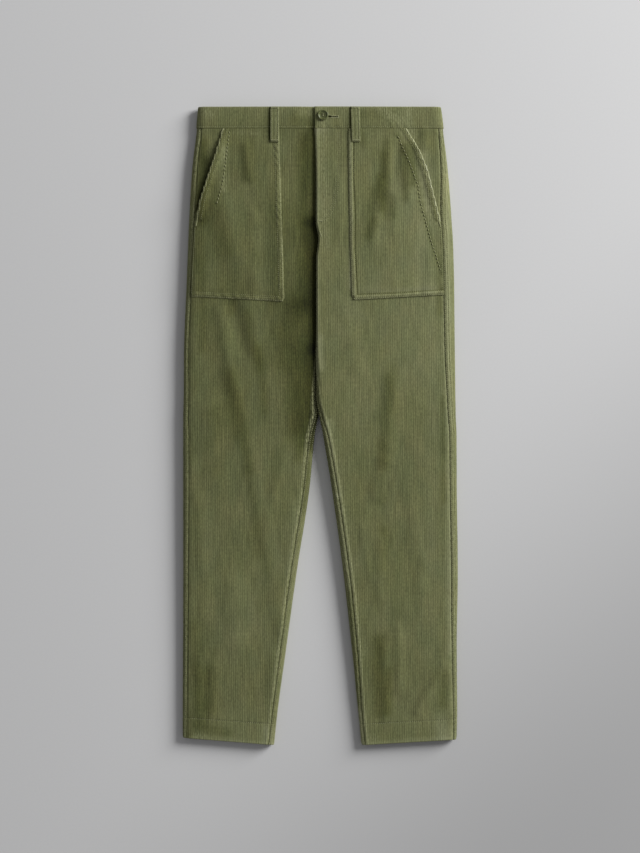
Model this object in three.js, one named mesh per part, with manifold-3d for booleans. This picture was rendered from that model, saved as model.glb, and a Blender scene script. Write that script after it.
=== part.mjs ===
// Corduroy trousers laid flat on a surface, front up, with the legs a little apart.
// Units are millimetres. +Z is up from the surface, +Y points to the waist and +X to the
// wearer's left leg. "down" is the distance below the top edge of the waistband.
import * as THREE from "three";
import { mergeVertices } from "three/addons/utils/BufferGeometryUtils.js";
import Module from "manifold-3d";

// Driving dimensions
const LENGTH = 1053; // top of the waistband to the lowest hem corner
const CLOTH = 1.5; // one layer of corduroy
const HEM_CLOTH = 3; // the cloth turned up once inside
const HEM_DEPTH = 35;
const SEAM_GAP = 0.3; // between pieces that are sewn together
const LEG_GAP = 1; // between the thighs, which lie against each other above the fork
const LEG_GAP_OPENS = 60; // length below the crotch over which that gap opens
const BAND_DEPTH = 36;
const BAND_OUT = 2; // how far the waistband stands out from the panels' outer face
const BAND_IN = 1.2; // and how far it reaches inwards from that face
const CROTCH_DOWN = 290; // front rise, where the two inseams meet
const CROTCH_HEIGHT = 4.5; // of that point above the surface
const CROTCH_CURVE = 45; // length over which the rise seams bend in to it
const INSEAM_CLIMB = [330, 560]; // distances down where the inseam climbs from the foot to the top
const HEM_SLANT_FROM = 880; // distance down where the legs begin to slant to their hems
const UNDERLAP = 36; // the button end of the waistband, hidden by the buttonhole end
const UNDERLAP_DIP = [5, 35]; // distances from the band's edge between which it dips under
const POCKET_CLOTH = 1.4;
const POCKET_CORNER = 4; // cut off the pocket's lower inner corner
const LOOP_WIDTH = 14;
const LOOP_LENGTH = 58;
const LOOP_CLOTH = 1.8;
const LOOP_FROM = 0.4; // distance down of its upper end
const LOOP_STEP = [1, 8]; // distances below the band where a loop steps down to the panel
const BUTTON_RADIUS = 8.6;
const BUTTON_RIM = 3.2; // height of the button's rim
const BUTTON_DISH = 1.9; // height of its middle
const BUTTON_RIM_WIDTH = 2;
const BUTTON_EDGE = 1; // bevel of the rim's edges
const BACK_LIFT = BAND_OUT + SEAM_GAP + LOOP_CLOTH; // the back rests on its own belt loops
const BACK_LIFT_FROM = 60; // that lift fades between these two distances down
const BACK_LIFT_TO = 150;
const UNDER_ROLL = 7; // width of the roll from a side edge to the flat underside
const FOOT_ROLL = [1, 5]; // radius of an inner foot at the crotch, and where the legs have parted
const LEGS_PART = 520; // distance down of the latter
const TALL = 100; // higher than the garment lies

// Colour of the dyed cloth and of the button
const CLOTH_COLOUR = 0x5f6143;
const BUTTON_COLOUR = 0x55573c;

// The right leg, which lies at negative x. outer and inner are x at its two edges, and below
// the fork both show. crownOuter and crownInner are the heights of the top face towards each
// edge, rollOuter and rollInner the widths over which it rolls down to them, and heightOuter
// and heightInner the heights of the two edges. outseam and inseam are how far inside the
// edges those seams lie.
const RIGHT_LEG = {
  name: "right",
  toOuter: -1,
  rows: [
    { down: 0, outer: -198.8, inner: 20, crownOuter: 14, crownInner: 16.5, rollOuter: 12,
      rollInner: 40, heightOuter: 8.5, heightInner: 12.5, outseam: 7, inseam: 12 },
    { down: 38, outer: -202.1, inner: 20, crownOuter: 14.5, crownInner: 17, rollOuter: 13,
      rollInner: 40, heightOuter: 8.5, heightInner: 12, outseam: 7, inseam: 12 },
    { down: 104, outer: -210.4, inner: 20, crownOuter: 15.5, crownInner: 20, rollOuter: 16,
      rollInner: 44, heightOuter: 8, heightInner: 10, outseam: 8, inseam: 12 },
    { down: 190, outer: -215.5, inner: 20, crownOuter: 17, crownInner: 23, rollOuter: 20,
      rollInner: 50, heightOuter: 8, heightInner: 8, outseam: 9, inseam: 12 },
    { down: 290, outer: -219.5, inner: 20, crownOuter: 18, crownInner: 24.5, rollOuter: 20,
      rollInner: 50, heightOuter: 8, heightInner: 8, outseam: 8, inseam: 12 },
    { down: 400, outer: -223.6, inner: 20, crownOuter: 18, crownInner: 23.5, rollOuter: 20,
      rollInner: 46, heightOuter: 8, heightInner: 8, outseam: 7, inseam: 12 },
    { down: 480, outer: -224.4, inner: 4, crownOuter: 17.5, crownInner: 22, rollOuter: 20,
      rollInner: 40, heightOuter: 8, heightInner: 8, outseam: 8, inseam: 12 },
    { down: 512, outer: -225.2, inner: -2.2, crownOuter: 17.5, crownInner: 21.5, rollOuter: 19,
      rollInner: 36, heightOuter: 8, heightInner: 8, outseam: 8, inseam: 12 },
    { down: 540, outer: -225.2, inner: -7.5, crownOuter: 17, crownInner: 21, rollOuter: 19,
      rollInner: 32, heightOuter: 8, heightInner: 8, outseam: 9, inseam: 13 },
    { down: 632, outer: -225.2, inner: -16.8, crownOuter: 16.5, crownInner: 19.5, rollOuter: 18,
      rollInner: 26, heightOuter: 7.5, heightInner: 8, outseam: 9, inseam: 14 },
    { down: 764, outer: -225.2, inner: -37.1, crownOuter: 15.5, crownInner: 17.5, rollOuter: 17,
      rollInner: 20, heightOuter: 7, heightInner: 7, outseam: 8, inseam: 14 },
    { down: 896, outer: -225.2, inner: -55.3, crownOuter: 14.5, crownInner: 15.5, rollOuter: 16,
      rollInner: 17, heightOuter: 6.5, heightInner: 6.5, outseam: 7, inseam: 13 },
    { down: 1000, outer: -225.2, inner: -69.4, crownOuter: 14, crownInner: 14.5, rollOuter: 15,
      rollInner: 15, heightOuter: 6.5, heightInner: 6.5, outseam: 6, inseam: 12 },
    { down: 1053, outer: -225.2, inner: -75, crownOuter: 13.5, crownInner: 13.5, rollOuter: 14,
      rollInner: 14, heightOuter: 6.5, heightInner: 6.5, outseam: 5, inseam: 12 },
  ],
  hemRise: 12, // how much higher the hem's outer corner is than its inner one
};

// The left leg, which lies at positive x. Its inner edge is the fly's edge at first and the
// fold of the thigh below that, and overhang is how far that fold leans over its own foot.
const LEFT_LEG = {
  name: "left",
  toOuter: 1,
  rows: [
    { down: 0, outer: 198.8, inner: -8.1, crownOuter: 14, crownInner: 17.5, rollOuter: 12,
      rollInner: 6, heightOuter: 8.5, heightInner: 14, overhang: 2, outseam: 7, inseam: 11 },
    { down: 38, outer: 203.8, inner: -7.6, crownOuter: 14.5, crownInner: 18.5, rollOuter: 13,
      rollInner: 6, heightOuter: 8.5, heightInner: 14.5, overhang: 2, outseam: 8, inseam: 11 },
    { down: 104, outer: 212, inner: -5.8, crownOuter: 15.5, crownInner: 21, rollOuter: 16,
      rollInner: 6, heightOuter: 8, heightInner: 15.5, overhang: 2.3, outseam: 12, inseam: 11 },
    { down: 190, outer: 218.5, inner: -5.6, crownOuter: 16.5, crownInner: 23, rollOuter: 20,
      rollInner: 6, heightOuter: 8, heightInner: 16, overhang: 2.3, outseam: 18, inseam: 11 },
    { down: 218, outer: 220.3, inner: -1.6, crownOuter: 17, crownInner: 23.5, rollOuter: 20,
      rollInner: 6, heightOuter: 8, heightInner: 16, overhang: 2, outseam: 18, inseam: 11 },
    { down: 250, outer: 221.5, inner: -4.9, crownOuter: 17, crownInner: 23.5, rollOuter: 20,
      rollInner: 6, heightOuter: 8, heightInner: 16, overhang: 2.3, outseam: 18, inseam: 11 },
    { down: 290, outer: 222.5, inner: -5.2, crownOuter: 17, crownInner: 24, rollOuter: 20,
      rollInner: 7, heightOuter: 8, heightInner: 16, overhang: 2.3, outseam: 18, inseam: 11 },
    { down: 400, outer: 223.6, inner: -5, crownOuter: 17, crownInner: 23, rollOuter: 20,
      rollInner: 8, heightOuter: 8, heightInner: 15, overhang: 2.3, outseam: 17, inseam: 11 },
    { down: 480, outer: 224.6, inner: -4.4, crownOuter: 16.5, crownInner: 22, rollOuter: 20,
      rollInner: 10, heightOuter: 8, heightInner: 13, overhang: 1.6, outseam: 14, inseam: 11 },
    { down: 512, outer: 225.2, inner: 0.6, crownOuter: 16.5, crownInner: 21.5, rollOuter: 19,
      rollInner: 11, heightOuter: 8, heightInner: 12, overhang: 0.4, outseam: 13, inseam: 11 },
    { down: 540, outer: 226.5, inner: 5.6, crownOuter: 16.5, crownInner: 21, rollOuter: 19,
      rollInner: 12, heightOuter: 8, heightInner: 11, overhang: 0, outseam: 12, inseam: 11 },
    { down: 632, outer: 226.9, inner: 20.6, crownOuter: 16, crownInner: 19.5, rollOuter: 18,
      rollInner: 14, heightOuter: 7.5, heightInner: 9, overhang: 0, outseam: 11.5, inseam: 11 },
    { down: 764, outer: 228.5, inner: 38.8, crownOuter: 15, crownInner: 17.5, rollOuter: 17,
      rollInner: 15, heightOuter: 7, heightInner: 8, overhang: 0, outseam: 11, inseam: 11 },
    { down: 896, outer: 226.9, inner: 53.6, crownOuter: 14.5, crownInner: 15.5, rollOuter: 16,
      rollInner: 15, heightOuter: 6.5, heightInner: 7, overhang: 0, outseam: 8, inseam: 10 },
    { down: 1000, outer: 226.9, inner: 64.8, crownOuter: 14, crownInner: 14.5, rollOuter: 15,
      rollInner: 14, heightOuter: 6.5, heightInner: 6.5, overhang: 0, outseam: 6, inseam: 8 },
    { down: 1053, outer: 225.8, inner: 70.1, crownOuter: 13.5, crownInner: 13.5, rollOuter: 14,
      rollInner: 14, heightOuter: 6.5, heightInner: 6.5, overhang: 0, outseam: 5, inseam: 7 },
  ],
  hemRise: 9,
};

// Soft ridges (positive lift) and troughs (negative) on the fronts, each along a line.
const FOLDS = [
  { leg: "right", x1: -134, down1: 343, x2: -95, down2: 615, width: 14, lift: 4 },
  { leg: "right", x1: -161, down1: 368, x2: -138, down2: 615, width: 13, lift: -3 },
  { leg: "right", x1: -95, down1: 104, x2: -88, down2: 368, width: 12, lift: 2.5 },
  { leg: "right", x1: -115, down1: 318, x2: -105, down2: 516, width: 8, lift: -2.5 },
  { leg: "right", x1: -177, down1: 178, x2: -144, down2: 256, width: 12, lift: -3 },
  { leg: "right", x1: -144, down1: 71, x2: -138, down2: 302, width: 12, lift: 2.5 },
  { leg: "right", x1: -187, down1: 896, x2: -192, down2: 1003, width: 10, lift: 2.5 },
  { leg: "right", x1: -123, down1: 714, x2: -115, down2: 879, width: 25, lift: 2 },
  { leg: "right", x1: -82, down1: 813, x2: -95, down2: 978, width: 10, lift: 2 },
  { leg: "left", x1: 126, down1: 71, x2: 116, down2: 178, width: 9, lift: 3.5 },
  { leg: "left", x1: 96, down1: 71, x2: 90, down2: 211, width: 9, lift: -3 },
  { leg: "left", x1: 138, down1: 80, x2: 140, down2: 130, width: 7, lift: -2 },
  { leg: "left", x1: 136, down1: 426, x2: 123, down2: 599, width: 13, lift: 4 },
  { leg: "left", x1: 106, down1: 426, x2: 80, down2: 508, width: 12, lift: -3 },
  { leg: "left", x1: 80, down1: 508, x2: 90, down2: 599, width: 12, lift: -3 },
  { leg: "left", x1: 196, down1: 450, x2: 202, down2: 690, width: 8, lift: -2 },
  { leg: "left", x1: 113, down1: 879, x2: 120, down2: 995, width: 10, lift: 3 },
  { leg: "left", x1: 83, down1: 879, x2: 87, down2: 995, width: 9, lift: -2.5 },
  { leg: "left", x1: 210, down1: 950, x2: 166, down2: 1015, width: 8, lift: 2 },
];

// The hand openings of the two patch pockets, from the waistband to the side seam, and the
// pockets' inner edges, each as distance down and x.
const POCKETS = {
  right: {
    opening: [
      { down: 36, x: -159.6 }, { down: 76, x: -170.8 }, { down: 124, x: -187.3 },
      { down: 152, x: -196.2 }, { down: 190, x: -203.8 },
    ],
    inner: [{ down: 36, x: -66.8 }, { down: 322, x: -57.5 }],
    bottomOuter: 314,
    bottomInner: 322,
  },
  left: {
    opening: [
      { down: 36, x: 143 }, { down: 73, x: 165.8 }, { down: 106, x: 178.7 },
      { down: 157, x: 191.2 }, { down: 190, x: 199.7 },
    ],
    inner: [{ down: 36, x: 49.5 }, { down: 312, x: 53 }, { down: 320, x: 58 }],
    bottomOuter: 311,
    bottomInner: 319,
  },
};

// Centres of the belt loops at the top edge, and how far each leans over its length.
const FRONT_LOOPS = [
  { name: "belt_loop_front_right", x: -73.8, lean: 0 },
  { name: "belt_loop_front_left", x: 58.6, lean: 1.8 },
];
const BACK_LOOPS = [
  { name: "belt_loop_back_right", x: -118, lean: 0 },
  { name: "belt_loop_back_centre", x: -3, lean: 0 },
  { name: "belt_loop_back_left", x: 114, lean: 0 },
];
const BUTTON_AT = { x: 5.8, down: 14.5 };

// How finely the pieces are made
const FRONT_COLUMNS = [6, 17]; // over the inner roll, and from there to the outseam
const BACK_COLUMNS = [6, 6, 8]; // round the outer edge, along the flat, up the inner wall
const ROLL_MARGIN = 4; // past the inner roll's end
const FOOT_FLAT = 8; // of the flat underside, before the inner foot
const ROW_STEP = 40;
const CROTCH_ROWS = [-46, -30, -15, 0, 18]; // rows round the crotch, as distances down from it
const HEM_STEP = 1; // length over which the cloth thickens to the hem
const FLAT_STEP = 3; // between points on the flat stretches of a section
const ARC_STEPS = 10; // points on each rounded stretch of a section
const LEAST = 0.01; // a stretch shorter than this gets no points of its own
const TURN_WEIGHT = 9; // a turn of one radian gets as many columns as this many millimetres

// A smooth curve through the rows of a table: cubic between rows, with no overshoot.
function valueAt(rows, key, down) {
  const last = rows.length - 1;
  if (down <= rows[0].down) return rows[0][key];
  if (down >= rows[last].down) return rows[last][key];
  let i = 0;
  while (rows[i + 1].down < down) i += 1;
  const slope = (k) => (rows[k + 1][key] - rows[k][key]) / (rows[k + 1].down - rows[k].down);
  const tangent = (k) => {
    if (k === 0 || k === last) return slope(Math.min(k, last - 1));
    const before = slope(k - 1);
    const after = slope(k);
    return before * after <= 0 ? 0 : (2 * before * after) / (before + after);
  };
  const span = rows[i + 1].down - rows[i].down;
  const u = (down - rows[i].down) / span;
  const v = 1 - u;
  return (
    rows[i][key] * (1 + 2 * u) * v * v +
    rows[i + 1][key] * (1 + 2 * v) * u * u +
    span * u * v * (tangent(i) * v - tangent(i + 1) * u)
  );
}

const mix = (a, b, share) => a + (b - a) * share;
const ramp = (from, to, value) => THREE.MathUtils.smoothstep(value, from, to);

// Height share on a roll, from 0 at the edge to 1 where the roll ends.
function rollShare(distance, roll) {
  const left = 1 - Math.min(Math.max(distance / roll, 0), 1);
  return Math.sqrt(1 - left * left);
}

function foldLift(leg, x, down) {
  let lift = 0;
  for (const fold of FOLDS) {
    if (fold.leg !== leg.name) continue;
    const dx = fold.x2 - fold.x1;
    const dd = fold.down2 - fold.down1;
    const along = ((x - fold.x1) * dx + (down - fold.down1) * dd) / (dx * dx + dd * dd);
    const share = THREE.MathUtils.clamp(along, 0, 1);
    const away = Math.hypot(x - fold.x1 - dx * share, down - fold.down1 - dd * share);
    lift += fold.lift * Math.exp(-((away / fold.width) ** 2));
  }
  return lift;
}

// The underside's height: flat on the surface but for the waist, where the belt loops lie.
const underside = (down) => BACK_LIFT * (1 - ramp(BACK_LIFT_FROM, BACK_LIFT_TO, down));

// x of the left leg's inner foot, and of the right leg's inner edge, which meets it above
// the fork and draws away from it below.
const leftFoot = (down) =>
  valueAt(LEFT_LEG.rows, "inner", down) + valueAt(LEFT_LEG.rows, "overhang", down);
const rightInner = (down) => {
  const gap = mix(SEAM_GAP, LEG_GAP, ramp(CROTCH_DOWN, CROTCH_DOWN + LEG_GAP_OPENS, down));
  return Math.min(valueAt(RIGHT_LEG.rows, "inner", down), leftFoot(down) - gap);
};

// All the values that shape one leg's section at one distance down.
function shapeAt(leg, down) {
  const value = (key) => valueAt(leg.rows, key, down);
  const inner = leg === RIGHT_LEG ? rightInner(down) : value("inner");
  const parted = ramp(CROTCH_DOWN, LEGS_PART, down);
  return {
    down,
    inner,
    width: Math.abs(value("outer") - inner),
    overhang: leg === RIGHT_LEG ? 0 : value("overhang"),
    crownOuter: value("crownOuter"),
    crownInner: value("crownInner"),
    rollOuter: value("rollOuter"),
    rollInner: value("rollInner"),
    heightOuter: value("heightOuter"),
    heightInner: value("heightInner"),
    meetHeight: Math.min(value("heightInner"), valueAt(RIGHT_LEG.rows, "heightInner", down)),
    footRoll: down < CROTCH_DOWN - CROTCH_CURVE ? 0 : mix(...FOOT_ROLL, parted),
    floor: underside(down),
  };
}

// Height of a leg's top face at a distance "across" from its inner edge.
function topHeight(leg, shape, across, withInnerRoll = true) {
  const share = across / shape.width;
  const x = shape.inner + leg.toOuter * across;
  const edge = mix(shape.heightInner, shape.heightOuter, share);
  const crown = mix(shape.crownInner, shape.crownOuter, share);
  const innerShare = withInnerRoll ? rollShare(across, shape.rollInner) : 1;
  const outerShare = rollShare(shape.width - across, shape.rollOuter);
  const folds = foldLift(leg, x, shape.down) * innerShare * outerShare;
  return edge + (crown - edge) * innerShare * outerShare + folds;
}

// One leg's section as a closed run of points: from the inner foot up the inner wall, over
// the top to the outer edge and back along the underside. Also the lengths along it at the
// marks where seams can lie.
function sectionAt(leg, down) {
  const shape = shapeAt(leg, down);
  const points = [];
  const marks = {};
  const toX = (across) => shape.inner + leg.toOuter * across;
  const add = (across, z) => points.push({ x: toX(across), z });
  const { overhang, footRoll, floor, width } = shape;
  const wallTop = leg === RIGHT_LEG ? shape.heightInner : shape.meetHeight;
  for (let i = 0; i <= ARC_STEPS; i += 1) {
    const angle = ((i / ARC_STEPS) * Math.PI) / 2;
    if (footRoll === 0 && i < ARC_STEPS) continue;
    add(overhang + footRoll * (1 - Math.sin(angle)), floor + footRoll * (1 - Math.cos(angle)));
  }
  for (let i = 1; i <= ARC_STEPS; i += 1) {
    add(overhang, mix(floor + footRoll, wallTop, i / ARC_STEPS));
  }
  marks.meet = points.length - 1;
  if (overhang > LEAST) {
    for (let i = 1; i <= ARC_STEPS; i += 1) {
      const share = i / ARC_STEPS;
      add(overhang * (1 - ramp(0, 1, share)), mix(wallTop, shape.heightInner, share));
    }
  } else if (shape.heightInner - wallTop > LEAST) {
    add(0, shape.heightInner);
  }
  marks.lip = points.length - 1;
  const flatFrom = shape.rollInner;
  const flatTo = width - shape.rollOuter;
  const flatSteps = Math.ceil((flatTo - flatFrom) / FLAT_STEP);
  const rollSteps = ARC_STEPS * 2;
  for (let i = 1; i <= rollSteps; i += 1) {
    const across = shape.rollInner * (1 - Math.cos(((i / rollSteps) * Math.PI) / 2));
    add(across, topHeight(leg, shape, across));
  }
  for (let i = 1; i < flatSteps; i += 1) {
    const across = mix(flatFrom, flatTo, i / flatSteps);
    add(across, topHeight(leg, shape, across));
  }
  for (let i = rollSteps; i >= 0; i -= 1) {
    const across = width - shape.rollOuter * (1 - Math.cos(((i / rollSteps) * Math.PI) / 2));
    add(across, topHeight(leg, shape, across));
  }
  marks.outer = points.length - 1;
  for (let i = 1; i <= ARC_STEPS; i += 1) {
    const angle = ((i / ARC_STEPS) * Math.PI) / 2;
    const z = mix(shape.heightOuter, floor, Math.sin(angle));
    add(width - UNDER_ROLL * (1 - Math.cos(angle)), z);
  }
  marks.under = points.length - 1;
  const lengths = [0];
  for (let i = 1; i <= points.length; i += 1) {
    const a = points[i - 1];
    const b = points[i % points.length];
    lengths.push(lengths[i - 1] + Math.hypot(b.x - a.x, b.z - a.z));
  }
  return { leg, shape, points, lengths, marks, total: lengths[points.length] };
}

// The point at a length along a section, which may run on past its end into a second lap.
function pointAt(section, length) {
  const { points, lengths, total } = section;
  const l = ((length % total) + total) % total;
  let i = 1;
  while (lengths[i] < l) i += 1;
  const share = (l - lengths[i - 1]) / Math.max(lengths[i] - lengths[i - 1], 1e-9);
  const a = points[i - 1];
  const b = points[i % points.length];
  return { x: mix(a.x, b.x, share), z: mix(a.z, b.z, share) };
}

// The point at a length, with the unit normal that points out of the cloth.
function faceAt(section, length) {
  const reach = 0.6;
  const before = pointAt(section, length - reach);
  const after = pointAt(section, length + reach);
  const size = Math.hypot(after.x - before.x, after.z - before.z);
  const side = section.leg.toOuter / size;
  const at = pointAt(section, length);
  return { ...at, nx: -side * (after.z - before.z), nz: side * (after.x - before.x) };
}

// Lengths of evenly weighted columns between two lengths, without the last one: bends get
// more columns than flats.
function spread(section, from, to, count) {
  const steps = 200;
  const weights = [0];
  let previous = faceAt(section, from);
  for (let i = 1; i <= steps; i += 1) {
    const next = faceAt(section, mix(from, to, i / steps));
    const cosine = THREE.MathUtils.clamp(previous.nx * next.nx + previous.nz * next.nz, -1, 1);
    weights.push(weights[i - 1] + (to - from) / steps + TURN_WEIGHT * Math.acos(cosine));
    previous = next;
  }
  const lengths = [];
  let i = 1;
  for (let c = 0; c < count; c += 1) {
    const wanted = (weights[steps] * c) / count;
    while (i < steps && weights[i] < wanted) i += 1;
    const share = (wanted - weights[i - 1]) / (weights[i] - weights[i - 1]);
    lengths.push(mix(from, to, (i - 1 + THREE.MathUtils.clamp(share, 0, 1)) / steps));
  }
  return lengths;
}

// Lengths of a panel's columns. Marks that every row shares keep the edges' rolls on the
// same columns all the way down.
function columnLengths(section, isBack) {
  const { lengths, marks, total, shape } = section;
  const outseam = outseamLength(section);
  const seam = innerSeamLength(section, isBack);
  const stops = isBack
    ? [outseam + SEAM_GAP / 2, lengths[marks.under], total - FOOT_FLAT, total + seam]
    : [seam, topLength(section, shape.rollInner + ROLL_MARGIN), outseam - SEAM_GAP / 2];
  const counts = isBack ? BACK_COLUMNS : FRONT_COLUMNS;
  const columns = counts.flatMap((count, i) => spread(section, stops[i], stops[i + 1], count));
  return [...columns, stops[counts.length]];
}

// Length along a section at a height on its inner wall.
function wallLength(section, height) {
  for (let i = 0; i < section.marks.meet; i += 1) {
    const a = section.points[i];
    const b = section.points[i + 1];
    if (b.z < height - 1e-9) continue;
    const share = THREE.MathUtils.clamp((height - a.z) / Math.max(b.z - a.z, 1e-9), 0, 1);
    return mix(section.lengths[i], section.lengths[i + 1], share);
  }
  return section.lengths[section.marks.meet];
}

// Length along a section's top at a distance across from its inner edge.
function topLength(section, across) {
  const { leg, shape, points, lengths, marks } = section;
  const x = shape.inner + leg.toOuter * across;
  let i = marks.outer;
  while ((points[i - 1].x - x) * leg.toOuter > 0) i -= 1;
  const share = (x - points[i - 1].x) / (points[i].x - points[i - 1].x);
  return mix(lengths[i - 1], lengths[i], share);
}

const outseamLength = (section) =>
  topLength(
    section,
    section.shape.width - valueAt(section.leg.rows, "outseam", section.shape.down),
  );

// Length along a section at the edge between front and back nearest the body's middle: the
// rise seam above the crotch, and below it the inseam, which climbs the inner wall.
function innerSeamLength(section, isBack) {
  const { leg, shape, lengths, marks } = section;
  const { down } = shape;
  const bend = ramp(CROTCH_DOWN - CROTCH_CURVE, CROTCH_DOWN, down);
  const gap = isBack ? -SEAM_GAP / 2 : SEAM_GAP / 2;
  if (down < CROTCH_DOWN - LEAST) {
    const height = isBack ? CROTCH_HEIGHT * bend : mix(shape.meetHeight, CROTCH_HEIGHT, bend);
    return bend === 0 && isBack ? 0 : wallLength(section, height) + gap * bend;
  }
  const onWall = wallLength(section, CROTCH_HEIGHT);
  const onTop = lengths[marks.lip] + valueAt(leg.rows, "inseam", down);
  return mix(onWall, onTop, ramp(...INSEAM_CLIMB, down)) + gap;
}

// Places a point of the laid garment in the part's frame. Each leg's hem slants.
const FRAME_CENTRE =
  (Math.max(...LEFT_LEG.rows.map((row) => row.outer)) +
    Math.min(...RIGHT_LEG.rows.map((row) => row.outer))) / 2;
function place(leg, x, down, z) {
  const last = leg.rows[leg.rows.length - 1];
  const share = THREE.MathUtils.clamp((x - last.inner) / (last.outer - last.inner), 0, 1);
  const raised = leg.hemRise * share * ramp(HEM_SLANT_FROM, LENGTH, down);
  return new THREE.Vector3(x - FRAME_CENTRE, LENGTH / 2 - down + raised, z);
}

// A closed wall between an outer and an inner grid of points, with the same rows and columns.
function wallGeometry(outer, inner) {
  const rows = outer.length;
  const columns = outer[0].length;
  const positions = [];
  for (const grid of [outer, inner]) {
    for (const row of grid) for (const point of row) positions.push(point.x, point.y, point.z);
  }
  const index = (layer, row, column) => (layer * rows + row) * columns + column;
  const triangles = [];
  const quad = (a, b, c, d) => triangles.push(a, b, c, a, c, d);
  for (let r = 0; r + 1 < rows; r += 1) {
    for (let c = 0; c + 1 < columns; c += 1) {
      quad(index(0, r, c), index(0, r + 1, c), index(0, r + 1, c + 1), index(0, r, c + 1));
      quad(index(1, r, c), index(1, r, c + 1), index(1, r + 1, c + 1), index(1, r + 1, c));
    }
    const end = columns - 1;
    quad(index(0, r, 0), index(1, r, 0), index(1, r + 1, 0), index(0, r + 1, 0));
    quad(index(0, r, end), index(0, r + 1, end), index(1, r + 1, end), index(1, r, end));
  }
  for (let c = 0; c + 1 < columns; c += 1) {
    const end = rows - 1;
    quad(index(0, 0, c), index(0, 0, c + 1), index(1, 0, c + 1), index(1, 0, c));
    quad(index(0, end, c), index(1, end, c), index(1, end, c + 1), index(0, end, c + 1));
  }
  const geometry = new THREE.BufferGeometry();
  geometry.setAttribute("position", new THREE.Float32BufferAttribute(positions, 3));
  geometry.setIndex(signedVolume(positions, triangles) > 0 ? triangles : turned(triangles));
  geometry.computeVertexNormals();
  return geometry;
}

function signedVolume(positions, triangles) {
  let volume = 0;
  const corner = (k) => new THREE.Vector3().fromArray(positions, triangles[k] * 3);
  for (let k = 0; k < triangles.length; k += 3) {
    volume += corner(k).dot(corner(k + 1).cross(corner(k + 2))) / 6;
  }
  return volume;
}

function turned(triangles) {
  const result = [];
  for (let k = 0; k < triangles.length; k += 3) {
    result.push(triangles[k], triangles[k + 2], triangles[k + 1]);
  }
  return result;
}

// Distances down of a panel's rows: even steps, with more where the rise seams bend and a
// step where the hem doubles the cloth.
function panelRows() {
  const from = BAND_DEPTH + SEAM_GAP;
  const bend = CROTCH_ROWS.map((offset) => CROTCH_DOWN + offset);
  const hem = [LENGTH - HEM_DEPTH - HEM_STEP, LENGTH - HEM_DEPTH, LENGTH];
  const kept = [from, ...bend, ...hem];
  const rows = [];
  for (let i = 0; i + 1 < kept.length; i += 1) {
    const steps = Math.max(1, Math.round((kept[i + 1] - kept[i]) / ROW_STEP));
    for (let k = 0; k < steps; k += 1) rows.push(mix(kept[i], kept[i + 1], k / steps));
  }
  return [...rows, LENGTH];
}

// A front or a back. Its points lie on the leg's sections, moved out by "out" for the outer
// face and in by one cloth for the inner face, or as far out as a piece laid on it needs.
function panelGeometry(leg, isBack, out = 0, thickness = null) {
  const outer = [];
  const inner = [];
  for (const down of panelRows()) {
    const section = sectionAt(leg, down);
    const ownCloth = down < LENGTH - HEM_DEPTH ? CLOTH : HEM_CLOTH;
    const cloth = thickness === null ? ownCloth : thickness;
    const faces = columnLengths(section, isBack).map((length) => faceAt(section, length));
    const row = (lift) =>
      faces.map((f) => place(leg, f.x + f.nx * lift, down, f.z + f.nz * lift));
    outer.push(row(out));
    inner.push(row(out - cloth));
  }
  return wallGeometry(outer, inner);
}

const wasm = await Module();
wasm.setup();

// A geometry as a solid that can be joined and cut, and back again.
function solidOf(geometry) {
  const bare = geometry.clone();
  for (const name of ["normal", "uv"]) bare.deleteAttribute(name);
  const merged = mergeVertices(bare, 1e-4);
  const vertProperties = merged.attributes.position.array;
  const triVerts = new Uint32Array(merged.index.array);
  return new wasm.Manifold(new wasm.Mesh({ numProp: 3, vertProperties, triVerts }));
}

function geometryOf(solid) {
  const mesh = solid.getMesh();
  const geometry = new THREE.BufferGeometry();
  geometry.setAttribute("position", new THREE.Float32BufferAttribute(mesh.vertProperties, 3));
  geometry.setIndex(Array.from(mesh.triVerts));
  geometry.computeVertexNormals();
  return geometry;
}

const outseamX = (leg, down) => {
  const shape = shapeAt(leg, down);
  return shape.inner + leg.toOuter * (shape.width - valueAt(leg.rows, "outseam", down));
};

// The outline of a patch pocket, seen from above: down its inner edge, along its bottom, up
// the side seam and along the hand opening.
function pocketOutline(leg, pocket) {
  const top = BAND_DEPTH + SEAM_GAP;
  const openingEnd = pocket.opening[pocket.opening.length - 1].down;
  const at = (x, down) => new THREE.Vector2(x - FRAME_CENTRE, LENGTH / 2 - down);
  const points = pocket.inner.map((corner) => at(corner.x, Math.max(corner.down, top)));
  const corner = valueAt(pocket.inner, "x", pocket.bottomInner) + leg.toOuter * POCKET_CORNER;
  points.push(at(corner, pocket.bottomInner));
  const sideSteps = 4;
  for (let i = 0; i <= sideSteps; i += 1) {
    const down = mix(pocket.bottomOuter, openingEnd, i / sideSteps);
    points.push(at(outseamX(leg, down) - leg.toOuter * SEAM_GAP, down));
  }
  const openingSteps = 6;
  for (let i = 1; i <= openingSteps; i += 1) {
    const down = mix(openingEnd, top, i / openingSteps);
    points.push(at(valueAt(pocket.opening, "x", down), down));
  }
  return new THREE.Shape(points);
}

// A patch pocket: the front's own points moved out, cut to the pocket's outline.
function pocketGeometry(leg, pocket) {
  const skin = panelGeometry(leg, false, SEAM_GAP + POCKET_CLOTH, POCKET_CLOTH);
  const tool = new THREE.ExtrudeGeometry(pocketOutline(leg, pocket), {
    depth: TALL,
    bevelEnabled: false,
  });
  return geometryOf(solidOf(skin).intersect(solidOf(tool)));
}

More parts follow.
